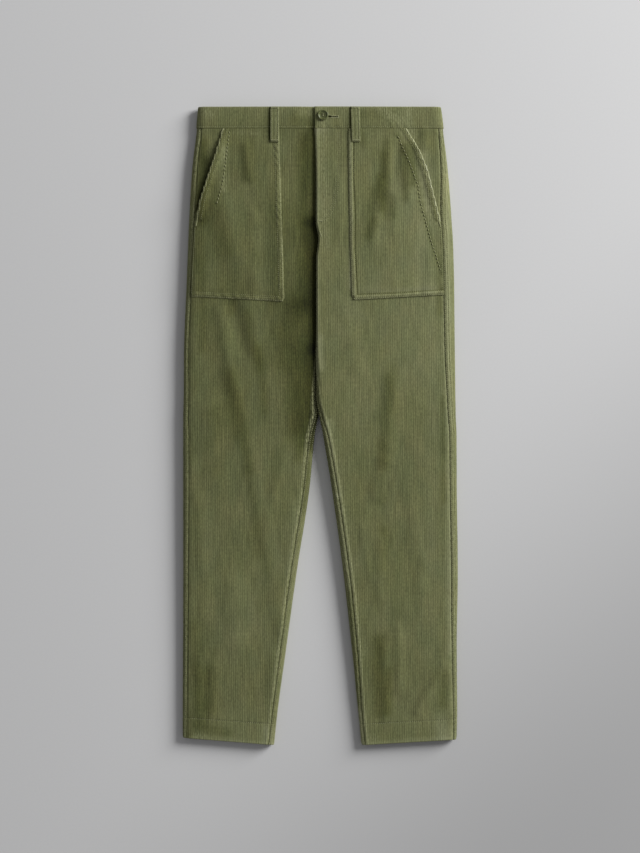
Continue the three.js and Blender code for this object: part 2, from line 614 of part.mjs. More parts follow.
// One half of the waistband as a run of points round the side, from the centre back to its
// front end. The right half dips under the left one and runs on as the underlap.
function bandPath(leg, down) {
  const section = sectionAt(leg, down);
  const { shape, points, marks } = section;
  const path = [];
  const foot = { x: shape.inner + leg.toOuter * shape.overhang, z: shape.floor };
  const underFrom = points[points.length - 1];
  const underSteps = 8;
  for (let i = 0; i < underSteps; i += 1) {
    path.push({ x: mix(foot.x, underFrom.x, i / underSteps), z: shape.floor });
  }
  const pastRoll = 12;
  const stopAcross = shape.rollInner + pastRoll;
  for (let i = points.length - 1; i > marks.lip; i -= 1) {
    if ((points[i].x - shape.inner) * leg.toOuter < stopAcross) break;
    path.push(points[i]);
  }
  const endX = leg === RIGHT_LEG ? shape.inner + UNDERLAP : shape.inner;
  const dip = BAND_OUT + BAND_IN + SEAM_GAP;
  const lastX = path[path.length - 1].x;
  const steps = Math.ceil(Math.abs(endX - lastX) / FLAT_STEP);
  for (let i = 1; i <= steps; i += 1) {
    const x = mix(lastX, endX, i / steps);
    const across = (x - shape.inner) * leg.toOuter;
    const share = leg === RIGHT_LEG ? 1 - ramp(...UNDERLAP_DIP, across) : 0;
    const left = shapeAt(LEFT_LEG, down);
    const over = topHeight(LEFT_LEG, left, Math.max(x - left.inner, 0), false);
    path.push({ x, z: mix(topHeight(leg, shape, across, false), over - dip, share) });
  }
  return path;
}

// Columns of the waistband: its path with the straight stretches thinned.
function bandColumns(leg, down, count) {
  const path = bandPath(leg, down);
  const turnAt = path.map((point, i) => {
    if (i === 0 || i === path.length - 1) return 0;
    const a = Math.atan2(point.z - path[i - 1].z, point.x - path[i - 1].x);
    const b = Math.atan2(path[i + 1].z - point.z, path[i + 1].x - point.x);
    return Math.abs(Math.atan2(Math.sin(b - a), Math.cos(b - a)));
  });
  const weights = [0];
  for (let i = 1; i < path.length; i += 1) {
    const size = Math.hypot(path[i].x - path[i - 1].x, path[i].z - path[i - 1].z);
    weights.push(weights[i - 1] + size + (TURN_WEIGHT * (turnAt[i] + turnAt[i - 1])) / 2);
  }
  const columns = [];
  let i = 1;
  for (let c = 0; c <= count; c += 1) {
    const wanted = (weights[path.length - 1] * c) / count;
    while (i < path.length - 1 && weights[i] < wanted) i += 1;
    const past = (wanted - weights[i - 1]) / (weights[i] - weights[i - 1]);
    const share = THREE.MathUtils.clamp(past, 0, 1);
    const a = path[i - 1];
    const b = path[i];
    const size = Math.hypot(b.x - a.x, b.z - a.z);
    const nx = (leg.toOuter * (b.z - a.z)) / size;
    const nz = (-leg.toOuter * (b.x - a.x)) / size;
    columns.push({ x: mix(a.x, b.x, share), z: mix(a.z, b.z, share), nx, nz });
  }
  return columns;
}

function bandGeometry(leg) {
  const rows = 3;
  const columns = 40;
  const outer = [];
  const inner = [];
  for (let r = 0; r <= rows; r += 1) {
    const down = (BAND_DEPTH * r) / rows;
    const faces = bandColumns(leg, down, columns);
    const row = (out) => faces.map((f) => place(leg, f.x + f.nx * out, down, f.z + f.nz * out));
    outer.push(row(BAND_OUT));
    inner.push(row(-BAND_IN));
  }
  return wallGeometry(outer, inner);
}

// Height of the highest of the given pieces straight above a point of the surface.
function seatHeight(pieces, at) {
  const above = new THREE.Vector3(at.x, at.y, TALL);
  const ray = new THREE.Raycaster(above, new THREE.Vector3(0, 0, -1));
  return ray.intersectObjects(pieces)[0]?.point.z;
}

// A belt loop lies over the waistband and reaches the pocket below it. One on the back lies
// under the band, on the surface.
function loopGeometry(loop, isBack, pieces) {
  const rows = 9;
  const leg = loop.x < 0 ? RIGHT_LEG : LEFT_LEG;
  const upper = [];
  const lower = [];
  for (let r = 0; r <= rows; r += 1) {
    const down = LOOP_FROM + (LOOP_LENGTH * r) / rows;
    const points = [-0.5, 0, 0.5].map((side) =>
      place(leg, loop.x + side * LOOP_WIDTH + (loop.lean * r) / rows, down, 0),
    );
    const overBand = 1 - ramp(...LOOP_STEP, down - BAND_DEPTH);
    for (const point of points) {
      point.z = isBack
        ? underside(down) - LOOP_CLOTH - mix(SEAM_GAP, BAND_OUT + SEAM_GAP, overBand)
        : seatHeight(pieces, point) + SEAM_GAP;
    }
    lower.push(points);
    upper.push(points.map((point) => point.clone().setZ(point.z + LOOP_CLOTH)));
  }
  return wallGeometry(upper, lower);
}

// A round button with a raised rim and a dished middle, on the buttonhole end of the band.
function buttonGeometry(band) {
  const sides = 32;
  const dishRadius = BUTTON_RADIUS - BUTTON_RIM_WIDTH;
  const profile = [
    [0, 0], [BUTTON_RADIUS - BUTTON_EDGE, 0], [BUTTON_RADIUS, BUTTON_EDGE],
    [BUTTON_RADIUS, BUTTON_RIM - BUTTON_EDGE], [BUTTON_RADIUS - BUTTON_EDGE, BUTTON_RIM],
    [dishRadius, BUTTON_RIM], [dishRadius - BUTTON_EDGE, BUTTON_DISH], [0, BUTTON_DISH],
  ].map(([radius, height]) => new THREE.Vector2(radius, height));
  const geometry = new THREE.LatheGeometry(profile, sides);
  geometry.rotateX(Math.PI / 2);
  const at = place(LEFT_LEG, BUTTON_AT.x, BUTTON_AT.down, 0);
  at.z = seatHeight([band], at) + SEAM_GAP;
  geometry.translate(at.x, at.y, at.z);
  return geometry;
}

const corduroy = () =>
  new THREE.MeshStandardMaterial({ color: CLOTH_COLOUR, roughness: 0.95, metalness: 0 });
const buttonPlastic = () =>
  new THREE.MeshStandardMaterial({ color: BUTTON_COLOUR, roughness: 0.45, metalness: 0 });

const trousers = new THREE.Group();
function addPiece(name, geometry, material) {
  const mesh = new THREE.Mesh(geometry, material);
  mesh.name = name;
  trousers.add(mesh);
  return mesh;
}

const loopSeats = [];
for (const leg of [RIGHT_LEG, LEFT_LEG]) {
  addPiece("front_" + leg.name, panelGeometry(leg, false), corduroy());
  addPiece("back_" + leg.name, panelGeometry(leg, true), corduroy());
  loopSeats.push(
    addPiece("waistband_" + leg.name, bandGeometry(leg), corduroy()),
    addPiece("pocket_" + leg.name, pocketGeometry(leg, POCKETS[leg.name]), corduroy()),
  );
}
for (const loop of FRONT_LOOPS) {
  addPiece(loop.name, loopGeometry(loop, false, loopSeats), corduroy());
}
for (const loop of BACK_LOOPS) {
  addPiece(loop.name, loopGeometry(loop, true, loopSeats), corduroy());
}
const leftBand = trousers.getObjectByName("waistband_left");
addPiece("button", buttonGeometry(leftBand), buttonPlastic());

export default trousers;
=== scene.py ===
# %% [markdown]
# # Corduroy trousers, laid flat
# A pair of olive corduroy trousers lies front up on a pale surface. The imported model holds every
# cut piece as a plain wall of cloth. Here each wall is made again in the same place with what
# makes it corduroy: its cords, its turned edges, its stitching and its soft folds. Sizes are in
# millimetres in the tables and in metres in Blender. "down" is the distance below the top edge of
# the waistband, and right and left are the wearer's.
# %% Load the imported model
import math

import bmesh
import bpy
import numpy as np
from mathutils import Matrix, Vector


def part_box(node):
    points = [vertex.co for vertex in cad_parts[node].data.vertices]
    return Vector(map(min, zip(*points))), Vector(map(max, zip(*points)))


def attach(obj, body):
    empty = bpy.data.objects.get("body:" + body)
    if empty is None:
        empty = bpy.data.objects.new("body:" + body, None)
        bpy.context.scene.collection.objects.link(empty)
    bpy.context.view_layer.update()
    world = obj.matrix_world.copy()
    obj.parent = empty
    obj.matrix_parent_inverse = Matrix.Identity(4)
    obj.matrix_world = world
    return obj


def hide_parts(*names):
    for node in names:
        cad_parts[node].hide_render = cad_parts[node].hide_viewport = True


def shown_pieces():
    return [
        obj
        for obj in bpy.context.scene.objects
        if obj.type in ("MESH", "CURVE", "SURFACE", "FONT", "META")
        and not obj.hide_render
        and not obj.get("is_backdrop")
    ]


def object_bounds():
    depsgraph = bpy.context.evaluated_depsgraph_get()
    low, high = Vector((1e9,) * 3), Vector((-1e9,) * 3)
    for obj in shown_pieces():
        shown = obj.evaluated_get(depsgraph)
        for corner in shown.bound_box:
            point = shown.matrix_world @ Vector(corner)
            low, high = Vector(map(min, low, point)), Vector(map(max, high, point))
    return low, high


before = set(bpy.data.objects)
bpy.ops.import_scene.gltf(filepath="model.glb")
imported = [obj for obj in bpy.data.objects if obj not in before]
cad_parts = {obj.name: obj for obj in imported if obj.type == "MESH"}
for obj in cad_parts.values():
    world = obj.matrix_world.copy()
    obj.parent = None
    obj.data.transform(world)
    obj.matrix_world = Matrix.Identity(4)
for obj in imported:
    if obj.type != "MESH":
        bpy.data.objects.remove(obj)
CAD_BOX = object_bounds()
print("CAD nodes:", ", ".join(sorted(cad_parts)))

# %% Sizes shared with the model
MM = 0.001
LENGTH = 1053
CLOTH = 1.5
HEM_CLOTH = 3
HEM_DEPTH = 35
SEAM_GAP = 0.3
LEG_GAP = 1
BAND_DEPTH = 36
BAND_OUT = 2
BAND_IN = 1.2
CROTCH_DOWN = 290
CROTCH_HEIGHT = 4.5
CROTCH_CURVE = 45
UNDERLAP = 36
POCKET_CLOTH = 1.4
LOOP_WIDTH = 14
LOOP_LENGTH = 58
LOOP_CLOTH = 1.8
BACK_LIFT = BAND_OUT + SEAM_GAP + LOOP_CLOTH
UNDER_ROLL = 7
FOOT_ROLL = (1, 5)
FOOT_FULL = 520
INSEAM_CLIMB = (330, 560)
LIFT_ENDS = (60, 150)
SLANT_FROM = 880
PLUMB = 150
print("a leg is", LENGTH - CROTCH_DOWN, "mm long below the crotch")

# %% [markdown]
# ## The legs in two tables
# A laid leg is a flat tube. Its section at any distance down is set by where its two edges lie,
# how high the cloth stands between them, and how widely it rolls down to each edge. One row for
# every place where something changes is enough, because a smooth curve runs through the rows.
# %% The two legs
LEG_COLUMNS = ("outer", "inner", "crown_outer", "crown_inner", "roll_outer", "roll_inner",
               "height_outer", "height_inner", "overhang", "outseam", "inseam")
RIGHT_ROWS = [
    (0, -198.8, 20, 14, 16.5, 12, 40, 8.5, 12.5, 0, 7, 12),
    (38, -202.1, 20, 14.5, 17, 13, 40, 8.5, 12, 0, 7, 12),
    (104, -210.4, 20, 15.5, 20, 16, 44, 8, 10, 0, 8, 12),
    (190, -215.5, 20, 17, 23, 20, 50, 8, 8, 0, 9, 12),
    (290, -219.5, 20, 18, 24.5, 20, 50, 8, 8, 0, 8, 12),
    (400, -223.6, 20, 18, 23.5, 20, 46, 8, 8, 0, 7, 12),
    (480, -224.4, 4, 17.5, 22, 20, 40, 8, 8, 0, 8, 12),
    (512, -225.2, -2.2, 17.5, 21.5, 19, 36, 8, 8, 0, 8, 12),
    (540, -225.2, -7.5, 17, 21, 19, 32, 8, 8, 0, 9, 13),
    (632, -225.2, -16.8, 16.5, 19.5, 18, 26, 7.5, 8, 0, 9, 14),
    (764, -225.2, -37.1, 15.5, 17.5, 17, 20, 7, 7, 0, 8, 14),
    (896, -225.2, -55.3, 14.5, 15.5, 16, 17, 6.5, 6.5, 0, 7, 13),
    (1000, -225.2, -69.4, 14, 14.5, 15, 15, 6.5, 6.5, 0, 6, 12),
    (1053, -225.2, -75, 13.5, 13.5, 14, 14, 6.5, 6.5, 0, 5, 12),
]
LEFT_ROWS = [
    (0, 198.8, -8.1, 14, 17.5, 12, 3, 8.5, 14, 2, 7, 11),
    (38, 203.8, -7.6, 14.5, 18.5, 13, 3, 8.5, 14.5, 2, 8, 11),
    (104, 212, -5.8, 15.5, 21, 16, 3, 8, 15.5, 2.3, 12, 11),
    (190, 218.5, -5.6, 16.5, 23, 20, 3, 8, 16, 2.3, 18, 11),
    (218, 220.3, -1.6, 17, 23.5, 20, 3, 8, 16, 2, 18, 11),
    (250, 221.5, -4.9, 17, 23.5, 20, 3, 8, 16, 2.3, 18, 11),
    (290, 222.5, -5.2, 17, 24, 20, 3.5, 8, 16, 2.3, 18, 11),
    (400, 223.6, -5, 17, 23, 20, 4, 8, 15, 2.3, 17, 11),
    (480, 224.6, -4.4, 16.5, 22, 20, 10, 8, 13, 1.6, 14, 11),
    (512, 225.2, 0.6, 16.5, 21.5, 19, 11, 8, 12, 0.4, 13, 11),
    (540, 226.5, 5.6, 16.5, 21, 19, 12, 8, 11, 0, 12, 13),
    (632, 226.9, 20.6, 16, 19.5, 18, 14, 7.5, 9, 0, 11.5, 14),
    (764, 228.5, 38.8, 15, 17.5, 17, 15, 7, 8, 0, 11, 14),
    (896, 226.9, 53.6, 14.5, 15.5, 16, 15, 6.5, 7, 0, 8, 12),
    (1000, 226.9, 64.8, 14, 14.5, 15, 14, 6.5, 6.5, 0, 6, 8),
    (1053, 225.8, 70.1, 13.5, 13.5, 14, 14, 6.5, 6.5, 0, 5, 7),
]
DOWNS = np.arange(0, LENGTH + 0.5, 0.5)


def smooth_runs(rows):
    """Every column of a table as a run over DOWNS: cubic between rows, with no overshoot."""
    rows = np.array(rows, float)
    down, value = rows[:, 0], rows[:, 1:]
    span = np.diff(down)[:, None]
    slope = np.diff(value, axis=0) / span
    before, after = slope[:-1], slope[1:]
    same_way = before * after > 0
    tangent = np.zeros_like(value)
    tangent[0], tangent[-1] = slope[0], slope[-1]
    total = np.where(same_way, before + after, 1)
    tangent[1:-1] = np.where(same_way, 2 * before * after / total, 0)
    at = np.clip(DOWNS, down[0], down[-1])
    i = np.clip(np.searchsorted(down, at, side="right") - 1, 0, len(span) - 1)
    u = (at - down[i])[:, None] / span[i]
    v = 1 - u
    ends = value[i] * (1 + 2 * u) * v * v + value[i + 1] * (1 + 2 * v) * u * u
    return ends + span[i] * u * v * (tangent[i] * v - tangent[i + 1] * u)


def make_leg(name, to_outer, hem_rise, rows):
    leg = {"name": name, "to_outer": to_outer, "hem_rise": hem_rise}
    leg["hem_outer"], leg["hem_inner"] = rows[-1][1:3]
    leg.update(zip(LEG_COLUMNS, smooth_runs(rows).T))
    return leg


RIGHT = make_leg("right", -1, 12, RIGHT_ROWS)
LEFT = make_leg("left", 1, 9, LEFT_ROWS)
LEGS = (RIGHT, LEFT)
FRAME_CENTRE = (max(r[1] for r in LEFT_ROWS) + min(r[1] for r in RIGHT_ROWS)) / 2
print("the legs span", LEFT["outer"].max() - RIGHT["outer"].min(), "mm")

# %% [markdown]
# ## Folds
# Cloth that has been worn and laid down keeps long, low swells and dips. Cloth simulation would
# make its own at random places, so these are laid one by one where the light shows them. Each is a
# soft ridge (height above 0) or trough (below 0) along a line, and no two are alike.
# %% Folds on the fronts and backs
STROKE_COLUMNS = ("x1", "down1", "x2", "down2", "width", "height")
FRONT_FOLDS = {
    "right": [
        (-164, 340, -143, 462, 12, 2.2), (-143, 326, -126, 402, 10, -1.4),
        (-120, 326, -106, 404, 13, 1.6), (-141, 452, -88, 715, 13, 0.9),
        (-88, 715, -62, 862, 12, 0.9), (-76, 905, -80, 965, 9, 1), (-158, 165, -126, 272, 24, 3),
        (-121, 66, -115, 116, 9, 2), (-164, 68, -163, 134, 10, 1.3), (-70, 130, -68, 312, 11, 1),
        (-109, 180, -106, 322, 10, 1.2), (-199, 905, -199, 1008, 8, 1.3),
        (-175, 922, -177, 1004, 9, 1.4), (-142, 790, -134, 884, 22, 2),
        (-60, 560, -84, 700, 9, 0.8), (-182, 500, -172, 620, 18, 1.6),
        (-200, 640, -196, 760, 8, 0.7), (-188, 700, -190, 840, 12, 0.8),
    ],
    "left": [
        (113, 58, 112, 112, 8, 0.7), (101, 128, 88, 222, 9, 1.4), (143, 70, 146, 150, 9, 1.5),
        (128, 70, 124, 112, 7, -1), (172, 40, 171, 66, 7, 1.4), (127, 150, 122, 206, 9, 1.2),
        (117, 448, 111, 582, 12, 1.5), (101, 582, 94, 640, 11, 1.4), (98, 716, 100, 806, 10, 1.3),
        (168, 746, 166, 794, 10, 1.2), (109, 892, 108, 1012, 8, 1), (130, 862, 132, 964, 9, 1.4),
        (206, 924, 162, 1000, 9, 2.2), (40, 330, 62, 430, 12, 1), (150, 640, 158, 730, 12, 1),
        (30, 120, 34, 200, 8, 0.8), (70, 690, 84, 780, 8, 0.8), (180, 240, 182, 310, 9, 1.2),
    ],
}
BACK_FOLDS = {
    "right": [
        (-150, 300, -90, 420, 12, 1.8), (-180, 520, -120, 640, 14, 1.5),
        (-110, 760, -150, 900, 16, 1.4), (-60, 330, -40, 420, 10, 1.3),
        (-190, 940, -130, 1000, 9, 1.1), (-170, 180, -100, 230, 10, 1.2),
    ],
    "left": [
        (150, 310, 80, 440, 13, 1.7), (190, 500, 130, 610, 12, 1.6), (90, 720, 150, 880, 15, 1.3),
        (60, 350, 45, 450, 9, 1.2), (120, 950, 190, 985, 9, 1.1), (170, 200, 90, 240, 11, 1.2),
    ],
}


# %% [markdown]
# ## Nap and painted shading
# Pile can be stroked like fur. Where wear or pressing has laid it the other way, or where cloth
# has rubbed on cloth, corduroy looks darker or lighter with no change of shape. These strokes
# change the colour in the same way, but most of them are painted shade and painted light: painted
# shadow in the valley beside the fly, under the right pocket's opening, beside the belt loops and
# in the buttonhole, painted highlights along the fly edge, the pocket edges, the hems and the
# outer edges, and soft darker and lighter patches beside the folds. Only in places do they stand
# for pile laid the other way. They are soft strokes too, with heights of about one photographic
# stop each: below 0 is darker, above 0 lighter. Rubs are strokes where the tips of the pile are
# worn pale, from 0 to about 1.
# %% Strokes of painted shade and light, and of the nap
PAINTED_SHADING_AND_NAP = {
    "right": [
        (-10, 36, -9, 190, 7, -0.6), (-9, 190, -9, 400, 11, -1.6), (-10, 400, -7, 560, 12, -1.7),
        (-26, 60, -32, 330, 17, -0.55), (-22, 330, -20, 550, 18, -0.8),
        (-44, 330, -38, 530, 20, -0.65), (-62, 180, -66, 420, 20, -0.32),
        (-192, 60, -196, 140, 9, -0.7), (-196, 150, -194, 186, 9, -0.8),
        (-178, 165, -162, 236, 18, -0.35), (-130, 60, -110, 290, 60, -0.16),
        (-150, 330, -150, 500, 50, -0.14), (-142, 440, -116, 600, 9, -0.35),
        (-116, 600, -98, 740, 9, -0.2), (-204, 860, -190, 1012, 14, -0.25),
        (-184, 930, -186, 1000, 8, -0.3), (-200, 1026, -204, 1040, 15, -0.3),
        (-86, 1030, -86, 1046, 12, 0.6), (-38, 650, -62, 930, 8, 0.2),
        (-130, 1030, -130, 1046, 40, 0.2), (-130, 790, -140, 900, 30, 0.14),
        (-124, 66, -122, 116, 8, -0.2), (-18, 590, -26, 660, 8, -0.5),
        (-22, 50, -22, 190, 9, -0.7), (-17, 196, -19, 320, 13, -0.9),
        (-186, 90, -180, 130, 9, -0.45), (-196, 190, -196, 300, 10, -0.45),
        (-190, 320, -192, 400, 9, -0.3), (-146, 322, -146, 338, 9, -0.35),
        (-118, 340, -100, 430, 8, -0.3), (-100, 400, -90, 500, 8, -0.35),
        (-150, 440, -138, 540, 10, -0.3), (-112, 60, -112, 120, 8, -0.25),
        (-200, 925, -200, 1000, 9, -0.3), (-175, 900, -172, 1000, 8, -0.25),
        (-204, 1030, -150, 1038, 7, -0.3), (-8, 505, -10, 535, 6, -0.7),
        (-32, 560, -36, 580, 8, -0.35), (-81.9, 2, -81.7, 54, 1.5, -2.2),
        (-161, 48, -186, 118, 1.6, -2), (-186, 118, -204, 172, 1.8, -2.4),
        (-170, 500, -165, 600, 16, -0.2), (-206, 1050, -76, 1053, 4, 0.3),
        (-40, 20, -14, 30, 14, -0.7),
    ],
    "left": [
        (100, 118, 101, 150, 9, -0.45), (118, 150, 121, 182, 6, -0.3), (90, 190, 80, 212, 8, -0.3),
        (-5, 40, -5, 450, 5, 0.6), (2, 380, 4, 430, 6, 0.4), (150, 120, 160, 420, 55, 0.2),
        (207, 60, 216, 1000, 8, 0.2), (12, 520, 31, 640, 5, 0.6), (31, 640, 50, 790, 5, 0.6),
        (172, 110, 168, 300, 14, 0.2), (66, 1000, 68, 1046, 10, 0.7),
        (200, 1020, 206, 1046, 16, 0.4), (130, 1036, 130, 1046, 60, 0.15),
        (40, 300, 60, 500, 50, 0.12), (50, 44, 52, 300, 3, 0.7), (98, 880, 104, 1000, 13, -0.35),
        (114, 930, 112, 1000, 7, -0.4), (90, 140, 82, 215, 8, -0.3), (106, 80, 104, 168, 8, -0.5),
        (138, 66, 142, 150, 7, -0.4), (150, 60, 152, 125, 8, -0.5), (190, 300, 190, 900, 20, 0.12),
        (112, 450, 106, 590, 10, -0.3), (62, 1052, 220, 1049, 4, 0.3),
        (203, 480, 204, 650, 5, -0.35), (198, 280, 198, 340, 6, -0.3),
        (120, 1040, 120, 1044, 20, -0.15), (110, 60, 108, 180, 8, -0.3),
        (120, 430, 118, 500, 9, -0.25), (102, 560, 102, 650, 9, -0.25),
        (106, 700, 104, 760, 9, -0.25), (96, 880, 96, 1000, 10, -0.3),
        (206, 940, 206, 990, 8, -0.35), (62, 42, 72, 60, 9, -0.25), (176, 50, 180, 62, 11, -0.25),
        (173, 80, 179, 170, 7, 0.25), (58, 306, 196, 302, 5, 0.35), (210, 60, 216, 900, 6, 0.25),
        (50.6, 2, 52, 54, 1.5, -2.2), (15.2, 17.3, 17.4, 17.3, 1.9, -4),
        (18, 17.3, 29.5, 17.3, 0.9, -2.5), (60, 12, 104, 12, 9, -0.55),
        (140, 20, 142, 60, 12, 0.25), (2, 14, 4, 30, 14, 0.5),
    ],
}
RUBS = {
    "right": [
        (-190, 8, -176, 14, 8, 0.5), (-156, 70, -158, 137, 5, 0.6), (-100, 44, -140, 42, 4, 0.3),
        (-30, 8, -12, 10, 7, 0.3), (-204, 1047, -190, 1049, 6, 0.6),
    ],
    "left": [
        (104, 6, 132, 26, 9, 0.7), (146, 6, 152, 50, 9, 0.7), (168, 80, 186, 190, 9, 0.5),
        (4, 4, 8, 230, 8, 0.5), (203, 60, 215, 320, 6, 0.5), (20, 520, 70, 900, 7, 0.4),
        (70, 1046, 90, 1046, 8, 0.6), (206, 1040, 216, 1044, 9, 0.7),
    ],
}


def stretch_distance(x1, down1, x2, down2, x, down):
    """Distance to a straight stretch between two points, seen from above."""
    dx, dd = x2 - x1, down2 - down1
    share = np.clip(((x - x1) * dx + (down - down1) * dd) / (dx * dx + dd * dd), 0, 1)
    return np.hypot(x - x1 - dx * share, down - down1 - dd * share)


def strokes(rows, x, down):
    """The sum of soft strokes at points of the cloth."""
    total = np.zeros(np.broadcast(x, down).shape)
    for row in rows:
        stroke = dict(zip(STROKE_COLUMNS, row))
        away = stretch_distance(*row[:4], x, down)
        total += stroke["height"] * np.exp(-((away / stroke["width"]) ** 2))
    return total


for label, table in (("front folds", FRONT_FOLDS), ("back folds", BACK_FOLDS),
                     ("strokes of the nap", PAINTED_SHADING_AND_NAP), ("rubs", RUBS)):
    print(sum(len(rows) for rows in table.values()), label)

# %% [markdown]
# ## A leg's section
# The section runs from the inner foot up the inner wall, over the top to the outer edge, and back
# along the flat underside. Fronts, backs and waistband are all stretches of that one line, which
# is why they meet so neatly at their seams.
# %% Heights and the section line
ARC = 14
ACROSS = 110


def mix(a, b, share):
    return a + (b - a) * share


def ramp(low, high, value):
    t = np.clip((value - low) / (high - low), 0, 1)
    return t * t * (3 - 2 * t)


def roll_share(distance, roll):
    left = 1 - np.clip(distance / roll, 0, 1)
    return np.sqrt(1 - left * left)


def shape_at(leg, down):
    shape = {key: np.interp(down, DOWNS, leg[key]) for key in LEG_COLUMNS}
    if leg is RIGHT:
        foot = np.interp(down, DOWNS, LEFT["inner"]) + np.interp(down, DOWNS, LEFT["overhang"])
        gap = mix(SEAM_GAP, LEG_GAP, ramp(CROTCH_DOWN, CROTCH_DOWN + 60, down))
        shape["inner"] = np.minimum(shape["inner"], foot - gap)
    shape["width"] = np.abs(shape["outer"] - shape["inner"])
    right_wall = np.interp(down, DOWNS, RIGHT["height_inner"])
    shape["meet"] = np.minimum(shape["height_inner"], right_wall)
    shape["floor"] = BACK_LIFT * (1 - ramp(*LIFT_ENDS, down))
    return shape


def top_height(leg, shape, across, down, inner_roll=True):
    share = across / shape["width"]
    x = shape["inner"] + leg["to_outer"] * across
    edge = mix(shape["height_inner"], shape["height_outer"], share)
    crown = mix(shape["crown_inner"], shape["crown_outer"], share)
    risen = roll_share(shape["width"] - across, shape["roll_outer"])
    if inner_roll:
        risen = risen * roll_share(across, shape["roll_inner"])
    return edge + (crown - edge + strokes(FRONT_FOLDS[leg["name"]], x, down)) * risen


def section_at(leg, down):
    s = shape_at(leg, down)
    quarter = np.linspace(0, math.pi / 2, ARC + 1)
    half = np.linspace(0, math.pi / 2, 2 * ARC + 1)
    width, floor, over = s["width"], s["floor"], s["overhang"]
    foot = 0
    if down >= CROTCH_DOWN - CROTCH_CURVE:
        foot = mix(*FOOT_ROLL, ramp(CROTCH_DOWN, FOOT_FULL, down))
    wall_top = s["height_inner"] if leg is RIGHT else s["meet"]
    runs, marks = [], {}
    turn = quarter if foot else quarter[-1:]
    runs.append((over + foot * (1 - np.sin(turn)), floor + foot * (1 - np.cos(turn))))
    wall = mix(floor + foot, wall_top, np.linspace(0, 1, ARC + 1)[1:])
    runs.append((np.full(ARC, over), wall))
    marks["meet"] = sum(len(run[0]) for run in runs) - 1
    share = np.linspace(0, 1, ARC + 1)[1:]
    if over > 0.01:
        runs.append((over * (1 - ramp(0, 1, share)), mix(wall_top, s["height_inner"], share)))
    elif s["height_inner"] - wall_top > 0.01:
        runs.append((np.zeros(1), np.array([s["height_inner"]])))
    marks["lip"] = sum(len(run[0]) for run in runs) - 1
    from_inner = s["roll_inner"] * (1 - np.cos(half[1:]))
    flat = np.linspace(s["roll_inner"], width - s["roll_outer"], ACROSS)[1:-1]
    to_outer = width - s["roll_outer"] * (1 - np.cos(half[::-1]))
    across = np.concatenate([from_inner, flat, to_outer])
    runs.append((across, top_height(leg, s, across, down)))
    marks["outer"] = sum(len(run[0]) for run in runs) - 1
    under = quarter[1:]
    rolled = width - UNDER_ROLL * (1 - np.cos(under))
    runs.append((rolled, mix(s["height_outer"], floor, np.sin(under))))
    marks["under"] = sum(len(run[0]) for run in runs) - 1
    across = np.concatenate([run[0] for run in runs])
    z = np.concatenate([run[1] for run in runs])
    across, z = np.append(across, across[0]), np.append(z, z[0])
    lengths = np.append(0, np.cumsum(np.hypot(np.diff(across), np.diff(z))))
    return {"leg": leg, "down": down, "shape": s, "across": across, "z": z,
            "x": s["inner"] + leg["to_outer"] * across, "lengths": lengths,
            "marks": marks, "total": lengths[-1]}


section = section_at(LEFT, 400)
print("the left leg is", round(float(section["total"])), "mm round at 400 mm down")


# %% Places on a section: points, normals and seams
def point_at(section, length):
    at = np.mod(length, section["total"])
    return (np.interp(at, section["lengths"], section["x"]),
            np.interp(at, section["lengths"], section["z"]))


def face_at(section, length, reach=0.6):
    """Points at lengths along a section, with the normals that point out of the cloth."""
    x0, z0 = point_at(section, length - reach)
    x1, z1 = point_at(section, length + reach)
    side = section["leg"]["to_outer"] / np.maximum(np.hypot(x1 - x0, z1 - z0), 1e-6)
    x, z = point_at(section, length)
    return x, z, -side * (z1 - z0), side * (x1 - x0)


def top_length(section, across):
    marks = section["marks"]
    top = slice(marks["lip"], marks["outer"] + 1)
    return np.interp(across, section["across"][top], section["lengths"][top])


def wall_length(section, height):
    wall = slice(0, section["marks"]["meet"] + 1)
    return np.interp(height, section["z"][wall], section["lengths"][wall])


def outseam_length(section):
    return top_length(section, section["shape"]["width"] - section["shape"]["outseam"])


def inner_seam_length(section, is_back):
    """Above the crotch the rise seam, and below it the inseam, which climbs the inner wall."""
    down, shape = section["down"], section["shape"]
    bend = ramp(CROTCH_DOWN - CROTCH_CURVE, CROTCH_DOWN, down)
    gap = -SEAM_GAP / 2 if is_back else SEAM_GAP / 2
    if down < CROTCH_DOWN:
        height = CROTCH_HEIGHT * bend if is_back else mix(shape["meet"], CROTCH_HEIGHT, bend)
        return 0 if bend == 0 and is_back else wall_length(section, height) + gap * bend
    on_wall = wall_length(section, CROTCH_HEIGHT)
    on_top = section["lengths"][section["marks"]["lip"]] + shape["inseam"]
    return mix(on_wall, on_top, ramp(*INSEAM_CLIMB, down)) + gap


def place(leg, x, down, z):
    """A point of the laid garment, in metres in the model's frame. Each hem slants a little."""
    share = np.clip((x - leg["hem_inner"]) / (leg["hem_outer"] - leg["hem_inner"]), 0, 1)
    raised = leg["hem_rise"] * share * ramp(SLANT_FROM, LENGTH, down)
    x, y, z = np.broadcast_arrays(x - FRAME_CENTRE, LENGTH / 2 - down + raised, np.maximum(z, 0))
    return np.stack([x, y, z], -1) * MM


print("its outseam lies", round(float(outseam_length(section))), "mm along it from the inner foot")

# %% [markdown]
# ## Wales
# Corduroy is woven with rows of cut pile, the wales, that run along the grain. Here they are
# 3.7 mm apart. Five columns of points make one wale: one in the valley and four over its rounded
# back. Every wale is a little fuller or flatter along its length, because pile gets rubbed.
# %% The height of the pile
WALE = 3.7
WALE_COLUMNS = 5
WALE_DEPTH = 0.28
RUB_LENGTH = 13


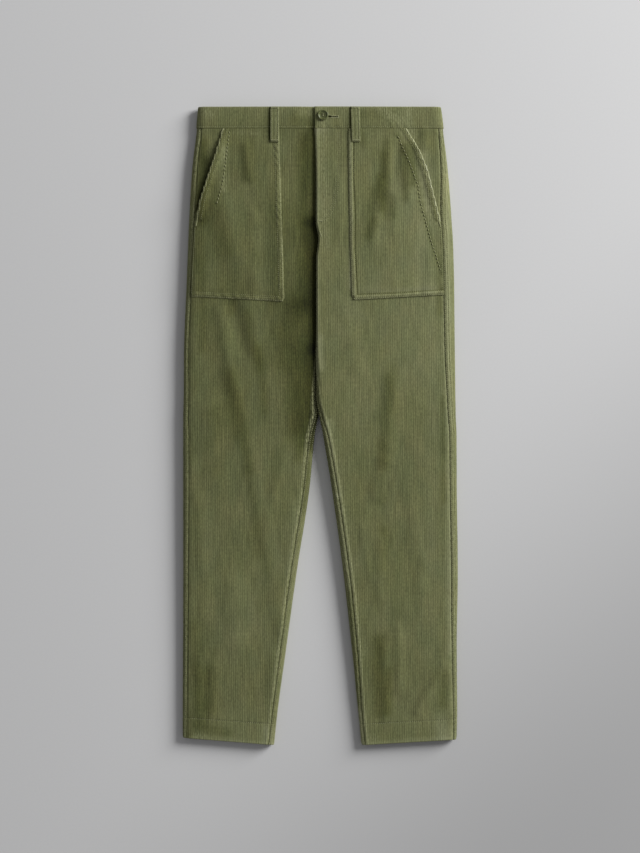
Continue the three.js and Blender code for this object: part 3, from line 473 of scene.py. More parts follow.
def crown_heights(columns, downs, seed):
    """The share of the pile's height at every row and column, from 0 in a valley to 1."""
    wale = columns // WALE_COLUMNS
    wale = wale - wale.min()
    rounded = np.sin(np.pi * (columns % WALE_COLUMNS) / WALE_COLUMNS) ** 0.6
    dice = np.random.default_rng(seed)
    rubbed = dice.uniform(0.6, 1, (int(LENGTH / RUB_LENGTH) + 3, wale.max() + 1))
    at = np.asarray(downs) / RUB_LENGTH
    i, t = at.astype(int), ramp(0, 1, at % 1)[:, None]
    return rounded * (rubbed[i] * (1 - t) + rubbed[i + 1] * t)[:, wale]


def wander(length, down):
    """Wales never run quite straight: a slow drift to either side, in millimetres."""
    return 0.5 * np.sin(length / 41 + down / 87 + 1) + 0.4 * np.sin(length / 23 - down / 59)


def turned_edge(distance, radius):
    """How far cloth drops at a folded edge, seen across it."""
    left = radius - np.clip(distance, 0, radius)
    return radius - np.sqrt(radius * radius - left * left)


def groove(distance, depth=0.45, width=0.8):
    """The line that a row of stitches presses into the pile."""
    return -depth * np.exp(-((distance / width) ** 2))


def puckers(distance, along, turn, reach=6):
    """Small waves that tight stitches draw into the cloth beside a seam, no two the same."""
    phase = along / 2.1 + 2.4 * np.sin(along / 29 + turn) + 0.22 * distance
    strength = 0.6 + 0.4 * np.sin(along / 17 + 2 * turn)
    return 0.38 * strength * np.sin(phase) * np.exp(-((distance / reach) ** 2))


print("pile is", WALE_DEPTH, "mm deep on cloth of", CLOTH, "mm")

# %% [markdown]
# ## A wall of cloth
# Cloth is a thin sheet with two faces. The outer face carries the wales, and the inner one is
# plain, so it needs far fewer points. Narrow rims join the two into one closed wall. Where a
# slanting seam cuts across the grain, the wales run out at it one after another, so the columns
# past the seam all use the seam's own point.
# %% Build a closed wall from two grids
ROW_SKIP = 4


def without_repeats(face):
    return [v for i, v in enumerate(face) if v != face[i - 1]]


def outwards(mesh):
    shell = bmesh.new()
    shell.from_mesh(mesh)
    bmesh.ops.recalc_face_normals(shell, faces=shell.faces)
    shell.to_mesh(mesh)
    shell.free()


def linked(name, data):
    """A new object of some data, in the scene."""
    made = bpy.data.objects.new(name, data)
    bpy.context.scene.collection.objects.link(made)
    return made


def wall_object(name, outer, inner, lead, tail, uv, wale, worn, nap=None, reverse_rows=None):
    """Only the first reverse_rows rows of the inner face show the plain back of the cloth."""
    rows, columns = outer.shape[:2]
    own = np.clip(np.arange(columns)[None, :], lead[:, None], tail[:, None])
    out_id = np.arange(rows)[:, None] * columns + own
    in_id = out_id + rows * columns
    some_rows = sorted({rows - 1, *range(0, rows, ROW_SKIP)})
    some = sorted({0, columns - 1, *range(WALE_COLUMNS, columns - 1, WALE_COLUMNS)})
    faces = np.stack([out_id[:-1, :-1], out_id[1:, :-1], out_id[1:, 1:], out_id[:-1, 1:]], -1)
    faces = faces.reshape(-1, 4).tolist()
    for top, bottom in zip(some_rows, some_rows[1:]):
        faces.append([*out_id[top:bottom + 1, 0][::-1], in_id[top, 0], in_id[bottom, 0]])
        faces.append([*out_id[top:bottom + 1, -1], in_id[bottom, -1], in_id[top, -1]])
    for left, right in zip(some, some[1:]):
        faces.append([*out_id[0, left:right + 1], in_id[0, right], in_id[0, left]])
        faces.append([*out_id[-1, left:right + 1][::-1], in_id[-1, left], in_id[-1, right]])
    slots = [0] * len(faces)
    for top, bottom in zip(some_rows, some_rows[1:]):
        plain = reverse_rows is not None and top < reverse_rows
        for left, right in zip(some, some[1:]):
            corners = (top, left), (top, right), (bottom, right), (bottom, left)
            faces.append([in_id[corner] for corner in corners])
            slots.append(1 if plain else 0)
    faces = [without_repeats([int(v) for v in face]) for face in faces]
    kept = [i for i, face in enumerate(faces) if len(face) > 2]
    faces, slots = [faces[i] for i in kept], [slots[i] for i in kept]
    used, renumbered = np.unique(np.concatenate(faces), return_inverse=True)
    ends = np.cumsum([len(face) for face in faces])
    faces = [part.tolist() for part in np.split(renumbered, ends[:-1])]
    points = np.concatenate([outer.reshape(-1, 3), inner.reshape(-1, 3)])[used]
    mesh = bpy.data.meshes.new(name)
    mesh.from_pydata(points.tolist(), [], faces)
    mesh.polygons.foreach_set("material_index", slots)
    outwards(mesh)
    mesh.shade_smooth()
    loops = np.zeros(len(mesh.loops), int)
    mesh.loops.foreach_get("vertex_index", loops)

    def both(values):
        return np.concatenate([values.reshape(rows * columns, -1)] * 2)[used]

    layer = mesh.uv_layers.new(name="cloth")
    layer.data.foreach_set("uv", both(uv)[loops].astype(np.float32).ravel())
    # The nap attribute carries mostly painted shade and painted light.
    nap = np.zeros(outer.shape[:2]) if nap is None else nap
    for label, values in (("wale", wale), ("worn", worn), ("nap", nap)):
        attribute = mesh.attributes.new(label, "FLOAT", "POINT")
        attribute.data.foreach_set("value", both(values)[:, 0].astype(np.float32))
    return linked(name, mesh)


# %% [markdown]
# ## The four panels
# Each panel is a run of sections, cut off at its two seams. The cloth turns down into a seam, and
# a felled seam leaves a flat ridge beside it where the seam allowance lies folded, held by two
# rows of stitches. The hem is the panel's own end turned up, so it is twice as thick and its edge
# is round.
# %% Rows, seams and edges of a panel
ROW_STEP = 3.9
HEM_LINE = LENGTH - HEM_DEPTH
RIDGE = 9
RIDGE_HEIGHT = 0.9
RIDGE_ROWS = (1.8, 7.2)
FLY_ROW = 5
WAIST_BULK = 1.1
J_STITCH = np.array([(33, 38), (34.2, 80), (33, 115), (30.6, 136), (25.5, 160), (21, 174),
                     (14, 185), (6, 189.5), (-3, 190.5)])
J_APART = 3.6
# How much darker the colour is in stitch grooves: pressed pile and painted shade.
PRESSED_PILE_AND_SHADE = 1.8


def panel_rows():
    body = np.append(BAND_DEPTH + SEAM_GAP, np.arange(BAND_DEPTH + 0.55, HEM_LINE - 4, ROW_STEP))
    line = HEM_LINE + np.array([-2.4, -1.2, -0.5, 0, 0.5, 1.2, 2.4])
    end = LENGTH - np.array([27, 21, 15, 9.5, 5, 3, 1.6, 0.9, 0.45, 0.15, 0])
    return np.concatenate([body, line, end])


def panel_span(section, is_back):
    """Lengths along the section at a panel's two seams, and at the wale that runs plumb."""
    leg, shape, marks = section["leg"], section["shape"], section["marks"]
    seam = inner_seam_length(section, is_back)
    if not is_back:
        grain = top_length(section, abs(leg["to_outer"] * PLUMB - shape["inner"]))
        return seam, outseam_length(section) - SEAM_GAP / 2, grain
    under = marks["under"]
    grain = section["lengths"][under] + abs(section["x"][under] - leg["to_outer"] * PLUMB)
    return outseam_length(section) + SEAM_GAP / 2, section["total"] + seam, grain


def line_distance(points, x, down):
    """Distance to a run of straight stretches, seen from above."""
    best = np.full(np.broadcast(x, down).shape, 1e9)
    for start, end in zip(points, points[1:]):
        best = np.minimum(best, stretch_distance(*start, *end, x, down))
    return best


def panel_relief(leg, is_back, to_start, to_end, x, down, from_lip):
    """How far the outer face stands off the plain section at seams, ridges and stitch lines."""
    edge = np.minimum(to_start, to_end)
    lift = -1.1 * (1 - np.clip(edge / 3, 0, 1)) ** 2 + groove(down - HEM_LINE)
    if is_back:
        below = ramp(CROTCH_DOWN - 20, CROTCH_DOWN + 20, down)
        for distance, share in ((to_start, 1), (to_end, below)):
            ridge = RIDGE_HEIGHT * (1 - ramp(RIDGE - 1.2, RIDGE + 1.2, distance))
            rows = sum(groove(distance - row, 0.6, 0.9) for row in RIDGE_ROWS)
            lift = lift + share * (ridge + rows + puckers(distance - 4, down, share))
        return lift
    lift = lift + WAIST_BULK * (1 - ramp(BAND_DEPTH, BAND_DEPTH + 14, down))
    lift = lift + 0.5 * ramp(CROTCH_DOWN, CROTCH_DOWN + 60, down) * (1 - ramp(5, 7, to_start))
    lift = lift + 0.7 * puckers(to_end, down, 2) + 0.7 * puckers(to_start, down, 3)
    lift = lift + 0.5 * puckers(down - HEM_LINE, x, 4, reach=9)
    if leg is LEFT:
        on_fly = 1 - ramp(480, 520, down)
        lift = lift + on_fly * (groove(from_lip - FLY_ROW) + 0.35 * (1 - ramp(7, 10, from_lip)))
        lift = lift + on_fly * puckers(from_lip - FLY_ROW, down, 5)
        for side in (0, J_APART):
            lift = lift + groove(line_distance(J_STITCH - (side, side), x, down))
    return lift


def make_panel(leg, is_back, seed):
    downs = panel_rows()
    sections = [section_at(leg, down) for down in downs]
    spans = np.array([panel_span(s, is_back) for s in sections])
    starts, ends, grains = spans.T[:, :, None]
    step = WALE / WALE_COLUMNS
    low = int(((starts - grains) / step).min()) - 2
    high = int(((ends - grains) / step).max()) + 3
    columns = np.arange(low, high)
    free = grains + columns * step + wander(columns * step, downs[:, None])
    before, past = free < starts + 0.25, free > ends - 0.25
    at = np.where(before, starts, np.where(past, ends, free))
    lead, tail = before.sum(1) - 1, len(columns) - past.sum(1)
    faces = [face_at(s, row) for s, row in zip(sections, at)]
    x, z, nx, nz = (np.array([face[i] for face in faces]) for i in range(4))
    down = np.broadcast_to(downs[:, None], x.shape)
    lips = np.array([s["lengths"][s["marks"]["lip"]] for s in sections])[:, None]
    edge = np.minimum(at - starts, ends - at)
    fade = ramp(0, 2, edge)
    crown = crown_heights(columns, downs, seed)
    relief = panel_relief(leg, is_back, at - starts, ends - at, x, down, at - lips)
    if is_back:
        flat = ramp(0.8, 1, -nz)
        relief = np.minimum(relief, mix(relief.max(), 0, flat))
        relief = relief - strokes(BACK_FOLDS[leg["name"]], x, down) * flat
    cloth = mix(CLOTH, HEM_CLOTH, ramp(HEM_LINE - 2, HEM_LINE, down))
    tuck = turned_edge(LENGTH - down, 1.35)
    out = relief - WALE_DEPTH * (1 - crown) * fade - tuck
    inn = np.minimum(relief, 0) * 0.6 - cloth + tuck
    outer = place(leg, x + nx * out, down, z + nz * out)
    inner = place(leg, x + nx * inn, down, z + nz * inn)
    uv = np.stack([at - grains, down], -1) * MM
    worn = 0.5 - 0.5 * ramp(0, 4, LENGTH - down) + 0.6 * (1 - ramp(0, 4, edge))
    below = ramp(CROTCH_DOWN, CROTCH_DOWN + 60, down)
    if is_back:
        worn = worn + 0.5 * (1 - ramp(RIDGE - 1, RIDGE + 1, at - starts))
        # Darker colour in the two stitch rows of the felled seam: pressed pile and painted shade.
        pressed_pile_and_shade = sum(groove(at - starts - row) for row in RIDGE_ROWS)
    else:
        worn = worn + strokes(RUBS[leg["name"]], x, down)
        # Darker colour along the inner seam below the crotch: pressed pile and painted shade.
        pressed_pile_and_shade = groove(at - starts - 0.5, 0.6, 1.4) * below
        worn = worn + 0.8 * below * (1 - ramp(5, 8, at - starts))
    # nap: the strokes of painted shade and light, plus darker stitch rows of pressed pile and
    # painted shade.
    nap = strokes(PAINTED_SHADING_AND_NAP[leg["name"]], x, down) + PRESSED_PILE_AND_SHADE * pressed_pile_and_shade
    name = ("back_" if is_back else "front_") + leg["name"] + "_cloth"
    hem_row = int(np.searchsorted(downs, HEM_LINE))
    piece = wall_object(name, outer, inner, lead, tail, uv, crown * fade + 0.4 * (1 - fade),
                        np.clip(worn, 0, 1), nap, hem_row)
    widths = (ends - starts)[:, 0]
    area = float(np.sum((widths[1:] + widths[:-1]) / 2 * np.diff(downs))) * MM * MM
    size = (float(widths.max()) * MM, float(downs[-1] - downs[0]) * MM)
    return {"piece": piece, "sections": sections, "downs": downs, "starts": starts[:, 0],
            "ends": ends[:, 0], "lips": lips[:, 0], "flat": size, "area": area, "leg": leg}


PANELS = {}
for seed, (leg, is_back) in enumerate([(RIGHT, False), (LEFT, False), (RIGHT, True), (LEFT, True)]):
    made = make_panel(leg, is_back, seed)
    PANELS[made["piece"].name[:-6]] = made
    print(made["piece"].name, len(made["piece"].data.polygons), "faces, cut about",
          [round(v, 3) for v in made["flat"]], "m")

# %% [markdown]
# ## Patch pockets
# A patch pocket is a separate piece of cloth, its edges turned under and sewn down on the front.
# It lies on the front's own surface, so its height comes from the same function. The slanted hand
# opening isn't sewn to the front: it stands a little proud, and its shadow is what the eye reads
# as a pocket; beside the right pocket's opening that shadow is deepened by a painted shadow. The
# slant cuts the wales one by one, which gives the opening its saw-tooth look.
# %% The pockets' outlines and surface
POCKETS = {
    "right": {
        "opening": [(36, 159.6), (76, 170.8), (124, 187.3), (152, 196.2), (190, 203.8)],
        "inner": [(36, 66.8), (316, 57.8), (322, 60.5)],
        "bottom": (322, 314), "gape": 4.6, "fold": 0.35, "rubbed": 1,
        "facing": [(-148, 40), (-154, 90), (-160, 132), (-170, 165)],
    },
    "left": {
        "opening": [(36, 143), (73, 165.8), (106, 178.7), (157, 191.2), (190, 199.7)],
        "inner": [(36, 46.8), (120, 48), (235, 50.3), (312, 53), (320, 58)],
        "bottom": (319, 311), "gape": 2.4, "fold": 1, "rubbed": 1.7,
        "facing": [(129, 48), (147, 90), (162.5, 131), (166, 155), (174, 186), (182, 216),
                   (201, 275)],
    },
}
OPENING_END = 190
TOOTH = 0.65
POCKET_TOP = BAND_DEPTH + SEAM_GAP
POCKET_LIFT = SEAM_GAP + POCKET_CLOTH
POCKET_HEIGHT = 282
POCKET_CUT = 284
POCKET_LOW = 310.0
BOTTOM_SPAN = (60, 200)
GRAIN_SPAN = (48, 212)
FINE_STEP, COARSE_STEP = 2.2, 5.6
FINE_TO, COARSE_TO = 160, 268
TURNED_ROWS = (10, 8.6, 7.2, 5.5, 4, 2.8, 1.8, 1, 0.5, 0.2, 0)
POCKET_ROWS = np.concatenate([
    [0, 0.25], np.arange(FINE_STEP, FINE_TO, FINE_STEP),
    np.arange(FINE_TO + 2, COARSE_TO, COARSE_STEP), POCKET_HEIGHT - np.array(TURNED_ROWS),
]) / POCKET_HEIGHT


def top_face(leg, x, down, reach=0.6):
    """Height and normal of a leg's top face, seen from above."""
    def height(x, down):
        shape = shape_at(leg, down)
        return top_height(leg, shape, (x - shape["inner"]) * leg["to_outer"], down)
    z = height(x, down)
    slope_x = (height(x + reach, down) - height(x - reach, down)) / (2 * reach)
    slope_down = (height(x, down + reach) - height(x, down - reach)) / (2 * reach)
    size = np.sqrt(1 + slope_x ** 2 + slope_down ** 2)
    return z, -slope_x / size, -slope_down / size, 1 / size


def lifted(leg, x, down, lift):
    z, nx, nd, nz = top_face(leg, x, down)
    return place(leg, x + nx * lift, down + nd * lift, z + nz * lift)


def make_pocket(leg, seed):
    sizes = POCKETS[leg["name"]]
    side = leg["to_outer"]
    edge_in = np.array(sizes["inner"])
    edge_open = np.array(sizes["opening"])
    steps = POCKET_ROWS[:, None]

    def ends(down):
        shape = shape_at(leg, down)
        seam = side * shape["outer"] - shape["outseam"] - SEAM_GAP
        return np.interp(down, *edge_in.T), np.where(
            down < OPENING_END, np.minimum(np.interp(down, *edge_open.T), seam), seam)

    def bottom(across):
        share = np.clip((across - BOTTOM_SPAN[0]) / (BOTTOM_SPAN[1] - BOTTOM_SPAN[0]), 0, 1)
        return mix(*sizes["bottom"], share)

    def down_at(across):
        return POCKET_TOP + (bottom(across) - POCKET_TOP) * steps

    step = WALE / WALE_COLUMNS
    columns = np.arange(int(GRAIN_SPAN[0] / step), int(GRAIN_SPAN[1] / step))
    free = columns * step + wander(columns * step - PLUMB, POCKET_TOP + POCKET_HEIGHT * steps)
    low = ends(down_at(BOTTOM_SPAN[0]))[0]
    beside = down_at(BOTTOM_SPAN[1])
    high = ends(beside)[1]
    grain = high - wander(high - PLUMB, beside)
    high = high - TOOTH * np.cos(2 * np.pi * grain / WALE) * (beside < OPENING_END - 2)
    before, past = free < low + 0.25, free > high - 0.25
    at = np.where(before, low, np.where(past, high, free))
    down = down_at(at)
    lead, tail = before.sum(1) - 1, len(columns) - past.sum(1)
    to_in, to_out, to_bottom = at - low, high - at, bottom(at) - down
    sewn = np.minimum(to_in, to_bottom)
    edge = np.minimum(sewn, to_out)
    open_edge = np.where(down < OPENING_END, to_out, 99)
    fade = np.where(open_edge < 4, ramp(0, 0.5, edge), ramp(0, 1.6, edge))
    crown = crown_heights(columns, down[:, 0], seed)
    from_line = sewn + 0.5 * np.sin(down / 19 + at / 31)
    folded = sizes["fold"] * (1 - ramp(6.4, 8.2, from_line)) + 0.55 * (1 - ramp(9, 11, open_edge))
    folded = folded + puckers(sewn - 5, down + at, 6) + puckers(open_edge - 5, down, 7)
    rows = groove(edge - 2, 0.3) + groove(open_edge - 8, 0.3)
    rows = rows + groove(from_line - 8.4, 0.7 * sizes["fold"], 0.9)
    from_facing = line_distance(sizes["facing"], side * at, down)
    facing = groove(from_facing, 0.1, 1.1) + 1.4 * sizes["fold"] * puckers(from_facing, down, 9)
    along = np.clip((down - POCKET_TOP) / (OPENING_END - POCKET_TOP), 0, 1)
    gape = sizes["gape"] * np.sin(np.pi * along) * (1 - ramp(0, 18, to_out))
    depth = WALE_DEPTH * (1 + 1.8 * (1 - ramp(2, 7, open_edge)))
    out = POCKET_LIFT + gape + folded + rows + facing - depth * (1 - crown) * fade
    out = out - turned_edge(edge, 1) - 1.1 * (1 - ramp(0, 4, sewn))
    out = out + 0.2 * (1 - ramp(BAND_DEPTH, BAND_DEPTH + 14, down))
    outer = lifted(leg, side * at, down, np.maximum(out, SEAM_GAP + gape + 0.25))
    inner = lifted(leg, side * at, down, SEAM_GAP + gape)
    uv = np.stack([at, down], -1) * MM
    worn = 1 - ramp(0, 3.5, sewn) + 0.7 * sizes["fold"] * (1 - ramp(6, 8, from_line))
    worn = np.maximum(worn, sizes["rubbed"] * (1 - ramp(1.2, 5, open_edge)))
    worn = worn + strokes(RUBS[leg["name"]], side * at, down)
    # nap: the strokes of painted shade and light, plus darker stitch rows of pressed pile and
    # painted shade.
    nap = strokes(PAINTED_SHADING_AND_NAP[leg["name"]], side * at, down) + PRESSED_PILE_AND_SHADE * sizes["fold"] * rows
    # Painted shade along the puckered facing seam.
    nap = nap - 0.3 * sizes["fold"] * np.exp(-((from_facing / 3.5) ** 2))
    # Paler along the opening edge, partly wear and partly painted highlight, and darker just inside
    # it, pressed pile and painted shade.
    pale = 0.7 * (1 - ramp(1, 3.4, open_edge))
    pressed_pile_and_shade = 0.3 * np.exp(-(((open_edge - 5.6) / 1.4) ** 2))
    nap = nap + sizes["rubbed"] * (pale - pressed_pile_and_shade)
    piece = wall_object("pocket_" + leg["name"] + "_cloth", outer, inner, lead, tail, uv,
                        crown * fade + 0.5 * (1 - fade), worn, nap, len(POCKET_ROWS))
    widths = (high - low)[:, 0]
    heights = np.diff(POCKET_ROWS) * POCKET_HEIGHT
    area = float(np.sum((widths[1:] + widths[:-1]) / 2 * heights)) * MM * MM
    return {"piece": piece, "flat": (float(widths.max()) * MM, POCKET_CUT * MM), "area": area,
            "ends": ends, "bottom": bottom}


PATCHES = {}
for seed, leg in enumerate(LEGS):
    patch = PATCHES[leg["name"]] = make_pocket(leg, 10 + seed)
    print(patch["piece"].name, round(patch["area"], 4), "square metres")

# %% [markdown]
# ## Waistband
# The band is a strip folded along its top edge, sewn over the tops of the panels. Each half runs
# from the centre back round the side to its front end. The left end, with the buttonhole, lies
# over the right one, which dips under it.
# %% The two halves of the waistband
BAND_ROWS = np.array([0, 0.2, 0.6, 1.2, 2.2, 3.4, 6, 10, 13.6, 14.8, 15.8, 16.6, 17.3, 18, 18.8,
                      19.8, 21, 24, 28, 32.6, 33.8, 34.8, 35.5, 35.8, 36])
BAND_STITCHES = (2.6, 33.4)
EYE_END = 18.5
BUTTONHOLE = {"from": 14.5, "to": 29.5, "down": 17.3}


def band_path(leg, down):
    section = section_at(leg, down)
    shape, marks = section["shape"], section["marks"]
    foot, floor = shape["overhang"], shape["floor"]
    under = marks["under"]
    flat = np.linspace(foot, section["across"][under], 60)[:-1]
    sweep = slice(under, marks["lip"], -1)
    across, z = section["across"][sweep], section["z"][sweep]
    kept = across >= shape["roll_inner"] + 12
    kept[:ARC + 2] = True
    across, z = across[kept], z[kept]
    end = -UNDERLAP if leg is RIGHT else 0
    last = np.linspace(across[-1], end, 50)[1:]
    height = top_height(leg, shape, last, down, inner_roll=False)
    if leg is RIGHT:
        x = shape["inner"] - last
        over = shape_at(LEFT, down)
        cover = top_height(LEFT, over, np.maximum(x - over["inner"], 0), down, inner_roll=False)
        dip = BAND_OUT + BAND_IN + SEAM_GAP
        height = mix(height, cover - dip, 1 - ramp(5, 35, last))
    across = np.concatenate([flat, across, last])
    z = np.concatenate([np.full(len(flat), floor), z, height])
    x = shape["inner"] + leg["to_outer"] * across
    lengths = np.append(0, np.cumsum(np.hypot(np.diff(x), np.diff(z))))
    start = len(flat) + ARC + 1
    grain = np.interp(-PLUMB, -across[start:], lengths[start:])
    return {"x": x, "z": z, "lengths": lengths, "grain": grain, "leg": leg}


def band_face(path, length, reach=1.2):
    def read(at, key):
        return np.interp(at, path["lengths"], path[key])

    low = np.clip(length - reach, 0, None)
    high = np.clip(length + reach, None, path["lengths"][-1])
    dx, dz = read(high, "x") - read(low, "x"), read(high, "z") - read(low, "z")
    side = path["leg"]["to_outer"] / np.maximum(np.hypot(dx, dz), 1e-6)
    return read(length, "x"), read(length, "z"), side * dz, -side * dx


def make_band(leg, seed):
    paths = [band_path(leg, down) for down in BAND_ROWS]
    totals = np.array([path["lengths"][-1] for path in paths])[:, None]
    grains = np.array([path["grain"] for path in paths])[:, None]
    step = WALE / WALE_COLUMNS
    low, high = int((-grains / step).min()) - 2, int(((totals - grains) / step).max()) + 3
    columns = np.arange(low, high)
    free = grains + columns * step
    before, past = free < 0.25, free > totals - 0.25
    at = np.where(before, 0, np.where(past, totals, free))
    lead, tail = before.sum(1) - 1, len(columns) - past.sum(1)
    faces = [band_face(path, row) for path, row in zip(paths, at)]
    x, z, nx, nz = (np.array([face[i] for face in faces]) for i in range(4))
    down = np.broadcast_to(BAND_ROWS[:, None], x.shape)
    to_end = totals - at
    fade = ramp(0, 1.8, np.minimum(np.minimum(down, BAND_DEPTH - down), to_end))
    crown = crown_heights(columns, BAND_ROWS, seed)
    tuck = turned_edge(down, 1.5) + turned_edge(BAND_DEPTH - down, 0.5) + turned_edge(to_end, 1.3)
    out = BAND_OUT - WALE_DEPTH * (1 - crown) * fade - tuck - turned_edge(at, 0.8)
    out = out - 0.5 * ramp(BAND_DEPTH - 6, BAND_DEPTH, down)
    out = out + 0.6 * puckers(down - 33, at, 8, reach=8)
    for row in BAND_STITCHES:
        out = out + groove(down - row, 0.3)
    if leg is LEFT:
        slit = ramp(BUTTONHOLE["from"] - 1, BUTTONHOLE["from"], x) * (
            1 - ramp(BUTTONHOLE["to"], BUTTONHOLE["to"] + 1, x)) * (nz > 0)
        wide = mix(1.8, 0.6, ramp(EYE_END - 1, EYE_END + 1, x))
        out = out - 1.5 * slit * np.exp(-(((down - BUTTONHOLE["down"]) / wide) ** 2))
    inn = -BAND_IN + turned_edge(down, 1.5)
    out = np.maximum(out, inn + 0.2)
    outer = place(leg, x + nx * out, down, z + nz * out)
    inner = place(leg, x + nx * inn, down, z + nz * inn)
    uv = np.stack([at - grains, down + 3], -1) * MM
    worn = np.clip(1.2 - ramp(0, 3, down) - ramp(0, 30, down) * 0.2, 0, 1)
    worn = worn + strokes(RUBS[leg["name"]], x, down) * (nz > 0)
    # Half the strokes of painted shade and light, among them the painted shadow in the buttonhole
    # and beside the belt loops.
    nap = 0.5 * strokes(PAINTED_SHADING_AND_NAP[leg["name"]], x, down)
    piece = wall_object("waistband_" + leg["name"] + "_cloth", outer, inner, lead, tail, uv,
                        crown * fade + 0.5 * (1 - fade), worn, nap)
    return {"piece": piece, "flat": (float(totals.max()) * MM, BAND_DEPTH * MM), "paths": paths}


BANDS = {}
for seed, leg in enumerate(LEGS):
    band = BANDS[leg["name"]] = make_band(leg, 20 + seed)
    print(band["piece"].name, "is", round(band["flat"][0], 3), "m long")

# %% [markdown]
# ## Belt loops
# A loop is a narrow strip, folded in three so no raw edge shows, with a row of stitches near each
# side. It is tacked down at both ends, and bows up a little between them, so a belt can pass.
# %% Front and back loops
FRONT_LOOPS = [("belt_loop_front_right", -73.8, 0), ("belt_loop_front_left", 58.6, 1.8)]
BACK_LOOPS = [("belt_loop_back_right", -118, 0), ("belt_loop_back_centre", -3, 0),
              ("belt_loop_back_left", 114, 0)]
LOOP_BOW = 0.8
LOOP_SEAT = 0.45
LOOP_COLUMNS = 20
LOOP_STITCH = 2.3


def loop_seat(leg, x, down):
    """Height of what a front loop lies on."""
    shape = shape_at(leg, down)
    across = (x - shape["inner"]) * leg["to_outer"]
    over_band = 1 - ramp(BAND_DEPTH + 1, BAND_DEPTH + 7, down)
    on = mix(POCKET_LIFT + 0.3, BAND_OUT, over_band)
    return top_height(leg, shape, across, down, inner_roll=False) + on


def make_loop(name, x0, lean, is_back, seed):
    leg = RIGHT if x0 < 0 else LEFT
    rows = np.concatenate([[0, 0.2, 0.6, 1.3, 2.4, 4], np.arange(6.5, LOOP_LENGTH - 5, 3),
                           LOOP_LENGTH - np.array([4, 2.4, 1.3, 0.6, 0.2, 0])])
    columns = np.arange(LOOP_COLUMNS)
    half = LOOP_WIDTH / 2
    side = np.linspace(-half, half, len(columns))
    side = np.sign(side) * half * np.sin(np.abs(side) / half * math.pi / 2) ** 0.9
    down = np.broadcast_to(0.4 + rows[:, None], (len(rows), len(columns)))
    x = x0 + side + lean * rows[:, None] / LOOP_LENGTH
    end = np.minimum(rows, LOOP_LENGTH - rows)[:, None]
    edge = np.minimum(half - np.abs(side), end)
    crown = crown_heights(columns + 2, rows, seed)
    fade = ramp(0, 1.2, edge)
    row_marks = groove(half - np.abs(side) - LOOP_STITCH, 0.35, 0.6)
    thick = LOOP_CLOTH - 0.5 * (1 - crown) * fade - turned_edge(edge, 0.85) + row_marks
    if is_back:
        over_band = 1 - ramp(BAND_DEPTH + 1, BAND_DEPTH + 8, down)
        floor = shape_at(leg, down)["floor"]
        top = floor - mix(SEAM_GAP, BAND_OUT + SEAM_GAP, over_band)
        lower, upper = top - thick, top + 0 * thick
    else:
        bow = LOOP_BOW * np.sin(np.pi * np.clip((rows[:, None] - 4) / (LOOP_LENGTH - 8), 0, 1))
        lower = loop_seat(leg, x, down) + LOOP_SEAT + bow
        upper = lower + thick
    uv = np.stack([side + 0 * down, down], -1) * MM + 0.3
    outer, inner = (lower, upper) if is_back else (upper, lower)
    ends = np.zeros(len(rows), int), np.full(len(rows), len(columns) - 1)
    piece = wall_object(name + "_cloth", place(leg, x, down, outer), place(leg, x, down, inner),
                        *ends, uv, crown * fade + 0.6 * (1 - fade), 1.3 - ramp(0, 2.4, edge))
    return {"piece": piece, "x": x0, "lean": lean, "leg": leg, "is_back": is_back}


LOOPS = {}
for seed, (name, x0, lean) in enumerate(FRONT_LOOPS + BACK_LOOPS):
    LOOPS[name] = make_loop(name, x0, lean, "back" in name, 30 + seed)
print("belt loops:", ", ".join(LOOPS))

# %% [markdown]
# ## Waist button
# The button is moulded: a disc with a raised, rounded rim, a dished middle and four holes. It is
# modelled as by hand from a cylinder, with an inset for the rim, the middle pushed down, and the
# holes cut with a boolean.
# %% Model the button
BUTTON_LOW, BUTTON_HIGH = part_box("button")
BUTTON_RADIUS = (BUTTON_HIGH.x - BUTTON_LOW.x) / 2
BUTTON_CENTRE = (BUTTON_LOW + BUTTON_HIGH) / 2
BUTTON_DISH = 1.6 * MM
RIM_WIDTH = 1.8 * MM


def only(piece):
    """Deselects everything but one piece, and makes it the active one."""
    bpy.ops.object.select_all(action="DESELECT")
    piece.select_set(True)
    bpy.context.view_layer.objects.active = piece


def select_faces(piece, wanted):
    """Selects the faces that pass a test, in edit mode."""
    shell = bmesh.from_edit_mesh(piece.data)
    for face in shell.faces:
        face.select_set(False)
    for face in shell.faces:
        if wanted(face):
            face.select_set(True)
    shell.select_flush_mode()
    bmesh.update_edit_mesh(piece.data)


def make_button():
    bpy.ops.object.select_all(action="DESELECT")
    height = BUTTON_HIGH.z - BUTTON_LOW.z
    bpy.ops.mesh.primitive_cylinder_add(vertices=48, radius=BUTTON_RADIUS, depth=height,
                                        location=BUTTON_CENTRE)
    button = bpy.context.object
    button.name = button.data.name = "button_moulded"
    bpy.ops.object.transform_apply(location=True, rotation=True, scale=True)
    bpy.ops.object.mode_set(mode="EDIT")
    bpy.ops.mesh.select_mode(type="FACE")
    select_faces(button, lambda face: face.normal.z > 0.9 and face.calc_area() > 1e-5)
    bpy.ops.mesh.inset(thickness=RIM_WIDTH)
    bpy.ops.mesh.inset(thickness=0.5 * MM)
    bpy.ops.transform.translate(value=(0, 0, -BUTTON_DISH))
    bpy.ops.mesh.inset(thickness=1.6 * MM)
    bpy.ops.transform.translate(value=(0, 0, -0.25 * MM))
    bpy.ops.object.mode_set(mode="OBJECT")
    return button


BUTTON = make_button()
print("button:", round(BUTTON_RADIUS * 2000, 1), "mm across")

# %% Round its edges and cut four holes
HOLE_RADIUS = 1.1 * MM
HOLE_OUT = 1.9 * MM


